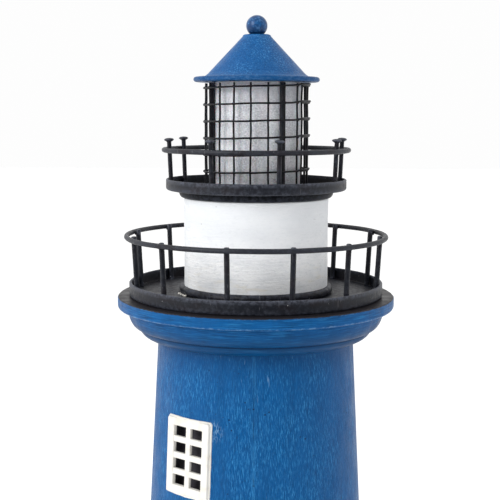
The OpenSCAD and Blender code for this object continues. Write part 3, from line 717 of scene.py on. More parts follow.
@dataclass
class Lathe:
    """Turns an outline into a closed mesh, a little uneven, with marks for its outer edges, where paint is worn
    pale and highlights are painted, and for its hollow corners, where shade is painted (a highlight on the roof).
    """

    segments: int = 192
    step: float = 1.6
    edge_reach: float = 0.55
    waver: float = 0.05
    waver_size: float = 22.0
    lift: float = 0.03
    lumps: float = 0.0
    lump_size: float = 2.2
    seed: float = 1.0

    def place(self, r: float, z: float, turn: float, around_r: float) -> Vector:
        """Where a point of the outline goes at a turn.

        Args:
            r: the point's radius.
            z: its height.
            turn: the turn round the axis, in radians.
            around_r: the radius at which the unevenness is read, so that both faces of a wall move together.

        Returns:
            The place.
        """
        key = Vector((around_r * math.sin(turn), -around_r * math.cos(turn), z))
        fade = min(1.0, r / 3.0)
        r += fade * uneven(key, self.waver, self.waver_size, self.seed)
        if self.lumps:
            r += fade * uneven(key, self.lumps, self.lump_size, self.seed + 5)
        z += fade * uneven(key, self.lift, self.waver_size, self.seed + 9)
        return Vector((r * math.sin(turn), -r * math.cos(turn), z)) * MM

    def turn(self, name: str, outline: Outline, finish: Material) -> bpy.types.Object:
        """Turns one piece.

        Args:
            name: the piece's name.
            outline: its outline, from the axis below, out and up, to the axis above, or a closed loop off the axis.
            finish: its material.

        Returns:
            The piece.
        """
        points = spaced(outline, self.step)
        turns = turnings(points, self.edge_reach)
        closed = points[0][0] > 1e-6 and math.dist(points[0], points[-1]) < 1e-6
        if closed:
            points, turns = points[:-1], turns[:-1]
        around_r = max(r for r, _ in points)
        verts: list[Vector] = []
        wear: list[float] = []
        grime: list[float] = []
        rows: list[list[int]] = []
        for (r, z), bend in zip(points, turns):
            count = self.segments if r > 1e-6 else 1
            rows.append(list(range(len(verts), len(verts) + count)))
            verts += [self.place(r, z, math.tau * i / self.segments, around_r) for i in range(count)]
            # Outer edges are marked for worn paint and painted highlights, hollow corners for painted shade.
            wear += [max(0.0, min(1.0, bend / 80))] * count
            grime += [max(0.0, min(1.0, -bend / 80))] * count
        faces: list[list[int]] = []
        pairs = list(zip(rows, rows[1:])) + ([(rows[-1], rows[0])] if closed else [])
        for low, high in pairs:
            for i in range(self.segments):
                j = (i + 1) % self.segments
                ring = [low[i % len(low)], low[j % len(low)], high[j % len(high)], high[i % len(high)]]
                face = list(dict.fromkeys(ring))
                if len(face) > 2:
                    faces.append(face)
        mesh = bpy.data.meshes.new(name)
        mesh.from_pydata(verts, [], faces)
        add_marks(mesh, "wear", wear)
        add_marks(mesh, "grime", grime)
        outward(mesh)
        smooth(mesh)
        return added(name, mesh, finish)


def outward(mesh: bpy.types.Mesh) -> None:
    """Merges a mesh's doubled points and turns its faces outwards."""
    made = bmesh.new()
    made.from_mesh(mesh)
    bmesh.ops.remove_doubles(made, verts=made.verts, dist=1e-7)
    bmesh.ops.recalc_face_normals(made, faces=made.faces)
    made.to_mesh(mesh)
    made.free()


def lines(name: str, runs: Iterable[Sequence[Vector]], closed: bool) -> bpy.types.Mesh:
    """A mesh of bare edges along runs of points, in millimetres, for wires to follow.

    Args:
        name: the mesh's name.
        runs: the points of each wire.
        closed: whether each wire ends where it starts.

    Returns:
        The mesh, in metres.
    """
    verts: list[Vector] = []
    edges: list[tuple[int, int]] = []
    for run in runs:
        first, count = len(verts), len(run)
        verts += [p * MM for p in run]
        edges += [(first + i, first + i + 1) for i in range(count - 1)]
        if closed:
            edges.append((first + count - 1, first))
    mesh = bpy.data.meshes.new(name)
    mesh.from_pydata(verts, edges, [])
    return mesh


def spots(name: str, places: Sequence[tuple[Vector, Vector]]) -> bpy.types.Mesh:
    """A mesh of bare points, each with the way a part is turned there.

    Args:
        name: the mesh's name.
        places: for each part, its place in millimetres and its X, Y and Z turns in radians.

    Returns:
        The mesh, in metres.
    """
    mesh = bpy.data.meshes.new(name)
    mesh.from_pydata([place * MM for place, _ in places], [], [])
    aims = mesh.attributes.new("aim", "FLOAT_VECTOR", "POINT")
    aims.data.foreach_set("vector", [x for _, aim in places for x in aim])
    return mesh


def blob(name: str, width: float, height: float, rings: int = 2) -> bpy.types.Object:
    """A small rounded lump round the origin, for solder, welds and glue.

    Args:
        name: the lump's name.
        width: its width.
        height: its height.
        rings: how finely it is divided.

    Returns:
        The lump.
    """
    made = bmesh.new()
    bmesh.ops.create_icosphere(made, subdivisions=rings, radius=0.5)
    for v in made.verts:
        v.co = Vector((v.co.x * width, v.co.y * width, v.co.z * height)) * MM
    mesh = bpy.data.meshes.new(name)
    made.to_mesh(mesh)
    made.free()
    smooth(mesh, 180)
    return added(name, mesh)


def cut_out(name: str, outlines: Sequence[Outline], thick: float, bevel: float) -> bpy.types.Mesh:
    """Flat pieces sawn from a board, standing up with their faces to the front, their edges eased.

    Args:
        name: the mesh's name.
        outlines: the outline round each, as X and Z.
        thick: their thickness, half to each side of Y = 0.
        bevel: how far the edges are eased.

    Returns:
        The mesh, in metres.
    """
    data = bpy.data.curves.new(name, "CURVE")
    data.dimensions = "2D"
    data.fill_mode = "BOTH"
    data.extrude = (thick / 2 - bevel) * MM
    data.bevel_depth = bevel * MM
    data.bevel_resolution = 2
    data.offset = -bevel * MM
    for outline in outlines:
        spline = data.splines.new("POLY")
        spline.points.add(len(outline) - 1)
        spline.points.foreach_set("co", [c for x, z in outline for c in (x * MM, z * MM, 0, 1)])
        spline.use_cyclic_u = True
    drawn = bpy.data.objects.new(name, data)
    bpy.context.scene.collection.objects.link(drawn)
    mesh = bpy.data.meshes.new_from_object(drawn.evaluated_get(bpy.context.evaluated_depsgraph_get()))
    bpy.data.objects.remove(drawn)
    mesh.transform(Matrix.Rotation(math.radians(90), 4, "X"))
    outward(mesh)
    return mesh


def rectangle(x: float, z: float, width: float, height: float, corner: float = 0.0) -> Outline:
    """A rectangle round a middle, with round corners if corner is more than 0."""
    if corner <= 0:
        return [(x + sx * width / 2, z + sz * height / 2) for sx, sz in ((-1, -1), (1, -1), (1, 1), (-1, 1))]
    made = []
    for quarter_turn, (sx, sz) in enumerate(((1, 1), (-1, 1), (-1, -1), (1, -1))):
        for i in range(5):
            bend = math.radians(90 * quarter_turn + 22.5 * i)
            made.append((
                x + sx * (width / 2 - corner) + corner * math.cos(bend),
                z + sz * (height / 2 - corner) + corner * math.sin(bend),
            ))
    return made


def joined(name: str, meshes: Sequence[bpy.types.Mesh], wobble: float = 0.0) -> bpy.types.Mesh:
    """Puts several meshes in one.

    Args:
        name: the new mesh's name.
        meshes: what goes into it.
        wobble: how far hand work shifts its points, in millimetres.

    Returns:
        The new mesh.
    """
    made = bmesh.new()
    for mesh in meshes:
        made.from_mesh(mesh)
    if wobble:
        for v in made.verts:
            v.co += noise.noise_vector(v.co / (4 * MM)) * wobble * MM
    mesh = bpy.data.meshes.new(name)
    made.to_mesh(mesh)
    made.free()
    smooth(mesh, 50)
    return mesh


# ---- Geometry Nodes ----


class Graph(NodeMaker):
    """A Geometry Nodes tree with named inputs, which ends in its material."""

    def __init__(self, name: str, inputs: dict[str, tuple[str, Any]]) -> None:
        """Starts the tree.

        Args:
            name: the tree's name.
            inputs: each named input's kind and its first value, or None for no value.
        """
        tree = bpy.data.node_groups.new(name, "GeometryNodeTree")
        super().__init__(tree)
        tree.interface.new_socket("Geometry", in_out="INPUT", socket_type="NodeSocketGeometry")
        for label, (kind, value) in {**inputs, "Finish": ("NodeSocketMaterial", None)}.items():
            socket = tree.interface.new_socket(label, in_out="INPUT", socket_type=kind)
            if value is not None:
                socket.default_value = value
        tree.interface.new_socket("Geometry", in_out="OUTPUT", socket_type="NodeSocketGeometry")
        self.given = self.node("NodeGroupInput", {}).outputs

    def shaken(self, geometry: Socket, amount: str, size: str) -> Socket:
        """Shifts every point a little, by a smooth random field.

        Args:
            geometry: what is shaken.
            amount: the input that says how far, in metres.
            size: the input that says how long the field's features are, in metres.

        Returns:
            The shaken geometry.
        """
        scale = self.math("DIVIDE", 1.0, self.given[size])
        place = self.node("GeometryNodeInputPosition", {}).outputs[0]
        field_inputs = {"Vector": place, "W": self.given["Seed"], "Scale": scale, "Detail": 1.0}
        texture = self.node("ShaderNodeTexNoise", field_inputs, noise_dimensions="4D")
        ends = {0: texture.outputs[1], 1: (0.5, 0.5, 0.5)}
        centred = self.node("ShaderNodeVectorMath", ends, operation="SUBTRACT")
        reach = self.times(self.given[amount], 2.0)
        shift = self.node("ShaderNodeVectorMath", {0: centred.outputs[0], "Scale": reach}, operation="SCALE")
        moved = self.node("GeometryNodeSetPosition", {"Geometry": geometry, "Offset": shift.outputs[0]})
        return moved.outputs[0]

    def end(self, geometry: Socket) -> bpy.types.NodeTree:
        """Ends the tree in Realize Instances and Set Material.

        Args:
            geometry: what the tree has made.

        Returns:
            The tree.
        """
        real = self.node("GeometryNodeRealizeInstances", {"Geometry": geometry}).outputs[0]
        dressed = self.node("GeometryNodeSetMaterial", {"Geometry": real, "Material": self.given["Finish"]})
        self.node("NodeGroupOutput", {0: dressed.outputs[0]})
        return self.tree


def wire_tree() -> bpy.types.NodeTree:
    """Builds the tree that draws wires along edges.

    Returns:
        The tree. Its inputs are the wire's radius, its sides, how far and how slowly it wavers, how much
        its thickness varies, a seed and its finish.
    """
    graph = Graph("drawn_wire", {
        "Radius": ("NodeSocketFloat", 0.001), "Sides": ("NodeSocketInt", 12),
        "Waver": ("NodeSocketFloat", 0.0), "Waver Length": ("NodeSocketFloat", 0.01),
        "Thick and Thin": ("NodeSocketFloat", 0.0), "Seed": ("NodeSocketInt", 0),
    })
    given = graph.given
    curve = graph.node("GeometryNodeMeshToCurve", {"Mesh": given["Geometry"]}).outputs[0]
    curve = graph.shaken(curve, "Waver", "Waver Length")
    place = graph.node("GeometryNodeInputPosition", {}).outputs[0]
    field_inputs = {"Vector": place, "W": given["Seed"], "Scale": 900.0, "Detail": 1.0}
    swell = graph.node("ShaderNodeTexNoise", field_inputs, noise_dimensions="4D").outputs[0]
    change = graph.times(graph.math("SUBTRACT", swell, 0.5), given["Thick and Thin"])
    thick = {"Curve": curve, "Radius": graph.math("ADD", change, 1.0)}
    curve = graph.node("GeometryNodeSetCurveRadius", thick).outputs[0]
    round_inputs = {"Resolution": given["Sides"], "Radius": given["Radius"]}
    ring = graph.node("GeometryNodeCurvePrimitiveCircle", round_inputs).outputs[0]
    tube_inputs = {"Curve": curve, "Profile Curve": ring, "Fill Caps": True}
    return graph.end(graph.node("GeometryNodeCurveToMesh", tube_inputs).outputs[0])


def standing_tree() -> bpy.types.NodeTree:
    """Builds the tree that stands a part at each point.

    Returns:
        The tree. Its inputs are the part, the range of its sizes, how far and how finely its surface is
        dented, a seed and its finish. Each point's "aim" turns its part.
    """
    graph = Graph("standing_parts", {
        "Part": ("NodeSocketObject", None), "Smallest": ("NodeSocketFloat", 1.0),
        "Largest": ("NodeSocketFloat", 1.0), "Dents": ("NodeSocketFloat", 0.0),
        "Dent Size": ("NodeSocketFloat", 0.002), "Seed": ("NodeSocketInt", 0),
    })
    given = graph.given
    part = graph.node("GeometryNodeObjectInfo", {"Object": given["Part"]}).outputs["Geometry"]
    aim = graph.node("GeometryNodeInputNamedAttribute", {"Name": "aim"}, data_type="FLOAT_VECTOR").outputs[0]
    turn = graph.node("FunctionNodeEulerToRotation", {0: aim}).outputs[0]
    sizes = {2: given["Smallest"], 3: given["Largest"], "Seed": given["Seed"]}
    size = graph.node("FunctionNodeRandomValue", sizes, data_type="FLOAT").outputs[1]
    copies = {"Points": given["Geometry"], "Instance": part, "Rotation": turn, "Scale": size}
    parts = graph.node("GeometryNodeInstanceOnPoints", copies).outputs[0]
    real = graph.node("GeometryNodeRealizeInstances", {"Geometry": parts}).outputs[0]
    return graph.end(graph.shaken(real, "Dents", "Dent Size"))


def grown(name: str, tree: bpy.types.NodeTree, base: bpy.types.Mesh, **given: Any) -> bpy.types.Object:
    """Runs a Geometry Nodes tree on a mesh and keeps the result as a plain mesh.

    Args:
        name: the new piece's name.
        tree: the tree.
        base: the mesh it starts from.
        **given: its named inputs, with _ for a space.

    Returns:
        The piece.
    """
    host = added(name + "_host", base)
    modifier = host.modifiers.new("grown", "NODES")
    modifier.node_group = tree
    wanted = {key.replace("_", " "): value for key, value in given.items()}
    for item in tree.interface.items_tree:
        if item.in_out == "INPUT" and item.name in wanted:
            modifier[item.identifier] = wanted.pop(item.name)
    if wanted:
        raise ValueError(f"{tree.name} has no input named {sorted(wanted)}")
    graph = bpy.context.evaluated_depsgraph_get()
    mesh = bpy.data.meshes.new_from_object(host.evaluated_get(graph))
    mesh.name = name
    host.modifiers.remove(modifier)
    bpy.data.objects.remove(host)
    outward(mesh)
    smooth(mesh, 50)
    return added(name, mesh, given["Finish"])


# ---- How pieces join the frame ----


class Body(Enum):
    """The CAD bodies that pieces ride on."""

    TOWER = "tower"
    ROOF = "roof"


def settle(piece: bpy.types.Object, body: Body, slot: str, *nodes: str) -> bpy.types.Object:
    """Hands a finished piece to the frame.

    Args:
        piece: the piece, in its place.
        body: what it moves with.
        slot: the name of a material slot; it is not used.
        *nodes: the CAD nodes that it stands for.

    Returns:
        The piece.
    """
    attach(piece, body.value)
    if nodes:
        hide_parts(*nodes)
    faces, stands_for = len(piece.data.polygons), ", ".join(nodes) or "nothing"
    log.info("%s: %d faces on %s, stands for %s", piece.name, faces, body.value, stands_for)
    return piece


def dress(finish: Material, *nodes: str) -> None:
    """Gives CAD nodes that stay their finish."""
    for node in nodes:
        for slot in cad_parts[node].material_slots:
            slot.material = finish
        log.info("%s: kept, in %s", node, finish.name)


def extent(node: str) -> tuple[float, float, float]:
    """A round CAD node's outer radius and its lowest and highest height, in millimetres."""
    low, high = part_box(node)
    return max(high.x, high.y) / MM, low.z / MM, high.z / MM


def turn_of(node: str) -> float:
    """The turn at which a CAD node's middle stands round the axis, in radians."""
    low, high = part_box(node)
    middle = (low + high) / 2
    return math.atan2(middle.x, -middle.y)


def at_turn(turn: float, radius: float, z: float) -> Vector:
    """The point at a turn in radians, a radius and a height."""
    return Vector((radius * math.sin(turn), -radius * math.cos(turn), z))


@dataclass
class Workshop:
    """The two node trees and the finishes that the sub-assemblies share."""

    wires: bpy.types.NodeTree = field(default_factory=wire_tree)
    standing: bpy.types.NodeTree = field(default_factory=standing_tree)
    black: Material = field(default_factory=WornBlack("worn_black").make)
    # The rails' black is a lighter copy with more grey wisps: painted sheen on the round rods.
    rail: Material = field(default_factory=WornBlack("rail_black", shown(36, 39, 47), wisps=0.5).make)
    white: Material = field(default_factory=TrimPaint("trim_white").make)
    wood: Material = field(default_factory=BareWood("bare_beech").make)
    steel: Material = field(default_factory=BareMetal("bare_steel").make)

    def drawn(
        self, name: str, runs: Sequence[Sequence[Vector]], closed: bool, finish: Material, **given: Any
    ) -> bpy.types.Object:
        """Draws wires along runs of points.

        Args:
            name: the piece's name.
            runs: the points of each wire, in millimetres.
            closed: whether each wire ends where it starts.
            finish: its material.
            **given: the wire tree's other inputs, with _ for a space.

        Returns:
            The piece.
        """
        return grown(name, self.wires, lines(name + "_runs", runs, closed), Finish=finish, **given)

    def stood(
        self, name: str, part: bpy.types.Object, places: Sequence[tuple[Vector, Vector]], finish: Material,
        **given: Any
    ) -> bpy.types.Object:
        """Stands copies of a part at places, then takes the part itself away.

        Args:
            name: the piece's name.
            part: what is copied.
            places: each copy's place in millimetres and its turns in radians.
            finish: its material.
            **given: the standing tree's other inputs, with _ for a space.

        Returns:
            The piece.
        """
        piece = grown(name, self.standing, spots(name + "_places", places), Part=part, Finish=finish, **given)
        bpy.data.objects.remove(part)
        return piece


# ---- Tower ----


@dataclass
class Wall:
    """The tower's leaning wall, and what is set into it."""

    top_r: float = 38.1
    lean: float = 3.0

    def __post_init__(self) -> None:
        """Reads the wall's height from the frame."""
        _, self.foot_z, self.top_z = extent("tower_left")
        self.foot_r = self.radius_at(self.foot_z)

    def radius_at(self, z: float) -> float:
        """The wall's radius at a height."""
        return self.top_r + (self.top_z - z) * math.tan(math.radians(self.lean))

    def place(self, turn: float, z: float) -> Matrix:
        """Where a piece made round the origin goes: X along the wall, Y into it and Z up its slope.

        Args:
            turn: the turn round the axis, in degrees.
            z: the height of its middle.

        Returns:
            The placing matrix, for a mesh in metres.
        """
        out = Matrix.Translation(Vector((0, -self.radius_at(z), z)) * MM)
        return Matrix.Rotation(math.radians(turn), 4, "Z") @ out @ Matrix.Rotation(-math.radians(self.lean), 4, "X")

    def sink(self, x: float, z: float) -> float:
        """How far the round wall falls back from its flat tangent, x to the side."""
        r = self.radius_at(z)
        return r - math.sqrt(max(0.0, r * r - x * x))


@dataclass
class Tower:
    """The tapered tower of two glued halves, on its plinth, felt, dowels and screws."""

    shop: Workshop
    wall: Wall
    plinth_round: float = 7.0
    plinth_sharp: float = 1.0
    dowel_hole_r: float = 6.05
    dowel_hole_deep: float = 10.0
    smear_from_middle: tuple[float, float, float] = (11.0, 0.3, 11.5)

    def build(self) -> None:
        """Builds the plinth and dresses what stays."""
        wall = self.wall
        _, low, high = extent("window_upper")
        smear = wall.place(DOOR_TURN, (low + high) / 2) @ (Vector(self.smear_from_middle) * MM)
        paint = TowerPaint("tower_blue", foot_z=wall.foot_z, head_z=wall.top_z, foot_r=wall.foot_r, lean=wall.lean,
                           smear_at=tuple(smear / MM))
        dress(paint.make(), "tower_left", "tower_right")
        radius, foot, top = extent("plinth")
        sharp, over = self.plinth_sharp, self.plinth_round
        outline = [(0, foot + 0.02)] + quarter(Corner.UNDER, radius, foot + sharp, sharp, sharp)
        outline += quarter(Corner.OVER, radius, top - over, over, over, 14)
        floor = top - self.dowel_hole_deep
        outline += [(self.dowel_hole_r, top), (self.dowel_hole_r, floor), (0, floor)]
        finish = BrushedPaint("plinth_blue", streak=0.7).make()
        settle(Lathe(waver=0.08, seed=2).turn("plinth_turned", outline, finish), Body.TOWER, "blue_paint", "plinth")
        dress(Felt("felt_grey").make(), "felt_pad")
        dress(self.shop.wood, "foot_dowel", "head_dowel")
        dress(self.shop.steel, "plinth_screws")


@dataclass
class Window:
    """A painted frame of eight panes, let into the wall and sealed round with filler."""

    shop: Workshop
    wall: Wall
    node: str
    turn: float
    columns: int = 2
    rows: int = 4
    pane_w: float = 5.8
    pane_h: float = 3.9
    muntin: float = 2.3
    sash: float = 3.1
    thick: float = 1.7
    seat: float = 1.47
    muntin_back: float = 0.2
    corner: float = 0.6
    inner_corner: float = 0.3
    bevel: float = 0.32
    level_drop: float = 0.06
    wobble: float = 0.07
    filler: float = 0.42

    def rim(self, outer: Outline, inner: Outline) -> bpy.types.Mesh:
        """The frame round the panes, with its front edges eased.

        Args:
            outer: its outer outline, as X and Z.
            inner: its inner outline, with as many points.

        Returns:
            The mesh, in metres.
        """
        front, ease = self.seat - self.thick, self.bevel
        section = ((self.seat, 0.0), (front + ease, 0.0), (front + 0.3 * ease, 0.3 * ease), (front, ease))
        loops = []
        for outline, other in ((outer, inner), (inner, outer)):
            path = []
            for depth, inward in section:
                shift = inward / self.sash
                path.append([
                    Vector((x + (x1 - x) * shift, depth, z + (z1 - z) * shift)) * MM
                    for (x, z), (x1, z1) in zip(outline, other)
                ])
            loops += path if outline is outer else path[::-1]
        count = len(outer)
        faces = []
        for i in range(len(loops)):
            here, beyond = i * count, (i + 1) % len(loops) * count
            for j, k in zip(range(count), [*range(1, count), 0]):
                faces.append([here + j, here + k, beyond + k, beyond + j])
        mesh = bpy.data.meshes.new("rim")
        mesh.from_pydata([v for loop in loops for v in loop], [], faces)
        outward(mesh)
        return mesh

    def build(self) -> None:
        """Builds the frame and its filler."""
        width = self.columns * self.pane_w + (self.columns - 1) * self.muntin
        height = self.rows * self.pane_h + (self.rows - 1) * self.muntin
        outer_w, outer_h = width + 2 * self.sash, height + 2 * self.sash
        outer = rectangle(0, 0, outer_w, outer_h, self.corner)
        sash = self.rim(outer, rectangle(0, 0, width, height, self.inner_corner))
        thin, reach = self.thick - self.muntin_back, self.sash / 2
        across, up = self.pane_w + self.muntin, self.pane_h + self.muntin
        uprights = [
            rectangle((i - self.columns / 2) * across, 0, self.muntin, height + reach)
            for i in range(1, self.columns)
        ]
        levels = [rectangle(0, (i - self.rows / 2) * up, width + reach, self.muntin) for i in range(1, self.rows)]
        bars = []
        for name, outlines, drop in (("uprights", uprights, 0.0), ("levels", levels, self.level_drop)):
            bar = cut_out(name, outlines, thin - drop, self.bevel)
            bar.transform(Matrix.Translation((0, (self.seat - (thin - drop) / 2) * MM, 0)))
            bars.append(bar)
        _, low, high = extent(self.node)
        middle = (low + high) / 2
        place = self.wall.place(self.turn, middle)
        mesh = joined(self.node + "_frame", [sash, *bars], self.wobble)
        mesh.transform(place)
        settle(added(mesh.name, mesh, self.shop.white), Body.TOWER, "white_paint", self.node)
        path = rectangle(0, 0, outer_w + 0.3, outer_h + 0.3, self.corner) + [(outer_w / 2 + 0.15, outer_h / 2 - 1)]
        edge = [Vector((x, self.wall.sink(x, middle) - 0.05, z)) for x, z in spaced(path, 0.8)][:-1]
        bead = self.shop.drawn(
            self.node + "_filler", [edge], True, self.shop.white, Radius=self.filler * MM, Sides=10,
            Waver=0.16 * MM, Waver_Length=2.4 * MM, Thick_and_Thin=0.9, Seed=int(abs(self.turn)))
        bead.data.transform(place)
        settle(bead, Body.TOWER, "white_paint")


@dataclass
class Door:
    """The plank door at the tower's foot, in its frame."""

    shop: Workshop
    wall: Wall
    turn: float = DOOR_TURN
    width: float = 20.0
    height: float = 42.0
    planks: int = 4
    thick: float = 2.4
    jamb: float = 3.0
    fit: float = 0.1
    proud: float = 2.2
    lift: float = 0.5
    seat_margin: float = 0.2
    gap: float = 0.03
    plank_gap: float = 0.04

    def build(self) -> None:
        """Builds the frame and the planks."""
        outer_w = self.width + 2 * (self.jamb + self.fit)
        outer_h = self.height + self.jamb + self.fit
        middle = self.wall.foot_z + self.lift + outer_h / 2
        seat = self.wall.sink(outer_w / 2, middle + outer_h / 2) + self.seat_margin
        place = self.wall.place(self.turn, middle)
        half, inner, foot, top = outer_w / 2, self.width / 2 + self.fit, -outer_h / 2, outer_h / 2
        head = top - self.jamb
        arch = [(-half, foot), (-inner, foot), (-inner, head), (inner, head)]
        arch += [(inner, foot), (half, foot), (half, top), (-half, top)]
        frame_mesh = cut_out("arch", [arch], seat + self.proud, 0.35)
        frame_mesh.transform(Matrix.Translation((0, (seat - self.gap - (seat + self.proud) / 2) * MM, 0)))
        frame_mesh = joined("door_surround", [frame_mesh], 0.06)
        frame_mesh.transform(place)
        settle(added("door_surround", frame_mesh, self.shop.white), Body.TOWER, "white_paint", "door_frame")
        plank_w, centre = self.width / self.planks, (self.planks - 1) / 2
        boards = [
            rectangle((i - centre) * plank_w, foot + self.height / 2, plank_w - self.plank_gap, self.height)
            for i in range(self.planks)
        ]
        panel = joined("door_planks", [cut_out("planks", boards, self.thick, 0.4)], 0.05)
        panel.transform(Matrix.Translation((0, (seat - self.gap - self.thick / 2) * MM, 0)))
        panel.transform(place)
        settle(added("door_planks", panel, self.shop.white), Body.TOWER, "white_paint", "door_panel")
        dress(BareMetal("dull_brass", shown(176, 146, 84), shown(118, 92, 50), 0.35).make(), "door_knob")


# ---- Cornice and galleries ----


@dataclass
class Cornice:
    """The moulded cornice, turned in one piece: a small quarter round, a large one and a flat band."""

    wall: Wall
    bead_h: float = 4.3
    bead_out: float = 7.8
    ovolo_h: float = 7.4
    ovolo_out: float = 3.9
    band_round: float = 1.1
    band_sharp: float = 0.5
    step_in: float = 0.6
    dowel_hole_r: float = 6.05

    def build(self) -> None:
        """Builds the cornice."""
        radius, foot, top = extent("cornice")
        bead_r = self.wall.top_r + self.bead_out - self.step_in
        bead_top = foot + self.bead_h
        ovolo_r = self.wall.top_r + self.bead_out + self.ovolo_out
        ovolo_top = bead_top + self.ovolo_h
        outline = [(self.dowel_hole_r, foot)]
        outline += quarter(Corner.UNDER, bead_r, bead_top - self.step_in / 2, self.bead_out - 2 * self.step_in,
                           self.bead_h - self.step_in / 2, 12)
        outline += [(bead_r, bead_top)]
        outline += quarter(Corner.UNDER, ovolo_r, ovolo_top, self.ovolo_out, self.ovolo_h, 14)
        outline += quarter(Corner.UNDER, radius, ovolo_top + self.band_round, self.band_round, self.band_round)
        outline += [(radius, top - self.band_sharp), (radius - self.band_sharp, top), (self.dowel_hole_r, top)]
        outline += [(self.dowel_hole_r, foot)]
        # Painted shade darkens the bead and the lower part of the ovolo, and the strong edge strength paints
        # highlight lines along the moulding edges.
        finish = CornicePaint(
            "cornice_blue", deep=shown(0, 52, 92), pale=shown(30, 108, 164), shade_below=bead_top,
            shade_over=self.ovolo_h, streak=10, streak_long=0.8, streak_depth=0.03, rubbing_and_highlight=0.7, top_z=top).make()
        piece = Lathe(segments=256, waver=0.1, lift=0.08, seed=3).turn("cornice_turned", outline, finish)
        settle(piece, Body.TOWER, "blue_paint", "cornice")


@dataclass
class Gallery:
    """A tray of sheet metal with posts soldered inside its rim and a rail of rod soldered to them."""

    shop: Workshop
    name: str
    posts: int
    post_prefix: str
    post_r: float
    lean: float
    sheet: float
    hole_r: float
    head_r: float = 0.0
    head_h: float = 1.5
    rim_round: float = 0.3
    rim_inside: float = 0.15
    floor_fillet: float = 0.3
    worn_r: float = 12.0
    worn: float = 0.02
    foot_round: float = 1.0
    weld_gap: float = 0.03
    seed: int = 1

    def tray(self) -> None:
        """Builds the tray, a flat dish with an upright rim."""
        radius, foot, top = extent(self.name + "_tray")
        floor, inside = foot + self.sheet, radius - self.sheet
        outline = [(self.hole_r, foot)]
        outline += quarter(Corner.UNDER, radius, foot + self.foot_round, self.foot_round, self.foot_round)
        outline += [(radius, top - self.rim_round), (radius - self.rim_round, top), (inside + self.rim_inside, top)]
        outline += [(inside, top - self.rim_inside), (inside, floor + self.floor_fillet)]
        outline += [(inside - self.floor_fillet, floor), (self.worn_r, floor)]
        outline += [(self.worn_r - 0.5, floor - self.worn), (self.hole_r, floor - self.worn), (self.hole_r, foot)]
        lathe = Lathe(segments=224, waver=0.12, waver_size=16, lift=0.1, seed=self.seed + 3)
        tray = lathe.turn(self.name + "_tray_spun", outline, self.shop.black)
        settle(tray, Body.TOWER, "black_metal", self.name + "_tray")

    def post_line(self, turn: float, height: float) -> Vector:
        """The middle of a post, at a turn in radians and a height."""
        radius, _, top = extent(self.name + "_tray")
        face, lean = radius - self.sheet - self.weld_gap, math.radians(self.lean)
        out = (height - top) * math.tan(lean) - self.post_r / math.cos(lean)
        return at_turn(turn, face + out, height)

    def post(self, length: float) -> bpy.types.Object:
        """Makes one post, standing on the origin.

        Args:
            length: its length.

        Returns:
            The post: a cut rod, or a nail if it has a head.
        """
        r, head = self.post_r, self.head_r
        if head:
            under = length - self.head_h
            outline = [(0, 0), (r, 0), (r, under), (head - 0.25, under + 0.5)]
            outline += [(head, under + 0.68), (head, under + 0.86)]
            outline += quarter(Corner.OVER, head - 0.08, under + 0.95, head - 0.08, 0.55, 6)[1:]
            outline[-1] = (0, length)
        else:
            outline = [(0, 0), (r, 0), (r, length - 0.25), (r - 0.25, length), (0, length)]
        lathe = Lathe(segments=20, step=2.5, waver=0, lift=0)
        return lathe.turn(self.name + "_post_part", outline, self.shop.black)

    def standing_posts(self) -> None:
        """Stands the posts round the tray, each where its CAD node is."""
        nodes = [f"{self.post_prefix}_{i}" for i in range(1, self.posts + 1)]
        _, _, top = extent(nodes[0])
        floor = extent(self.name + "_tray")[1] + self.sheet
        lean = math.radians(self.lean)
        part = self.post((top - floor) / math.cos(lean) - 0.12)
        turns = [turn_of(node) for node in nodes]
        places = [(self.post_line(turn, floor + 0.05), Vector((lean, 0, turn))) for turn in turns]
        piece = self.shop.stood(self.post_prefix + "s_stood", part, places, self.shop.black, Smallest=1.0,
                                Largest=1.0, Dents=0.07 * MM, Dent_Size=5 * MM, Seed=self.seed)
        settle(piece, Body.TOWER, "black_metal", *nodes)
        self.solder(turns)

    def solder(self, turns: Sequence[float]) -> None:
        """Runs solder in where each post meets the rim and the rail.

        Args:
            turns: where the posts stand, in radians.
        """
        _, _, top = extent(self.name + "_tray")
        _, rail_foot, rail_top = extent(self.name + "_rail")
        part = blob("solder_part", 2.0 * self.post_r, 1.5 * self.post_r)
        places = []
        for turn in turns:
            for height, out in ((top - 0.7, 0.5), ((rail_foot + rail_top) / 2 - 0.75, 0.75)):
                middle = self.post_line(turn, height)
                places.append((middle + at_turn(turn, self.post_r * out, 0), Vector((0, 0, turn))))
        piece = self.shop.stood(self.name + "_solder", part, places, self.shop.black, Smallest=0.75, Largest=1.2,
                                Dents=0.3 * MM, Dent_Size=1.1 * MM, Seed=self.seed + 1)
        settle(piece, Body.TOWER, "black_metal")

    def rail(self) -> None:
        """Bends the rail, a ring of rod."""
        outer, low, high = extent(self.name + "_rail")
        rod = (high - low) / 2
        steps = 160
        ring = [at_turn(math.tau * i / steps, outer - rod, (low + high) / 2) for i in range(steps)]
        piece = self.shop.drawn(self.name + "_rail_bent", [ring], True, self.shop.rail, Radius=rod * MM, Sides=16,
                                Waver=0.16 * MM, Waver_Length=26 * MM, Thick_and_Thin=0.06, Seed=self.seed)
        settle(piece, Body.TOWER, "black_metal", self.name + "_rail")

    def build(self) -> None:
        """Builds the gallery."""
        self.tray()
        self.standing_posts()
        self.rail()


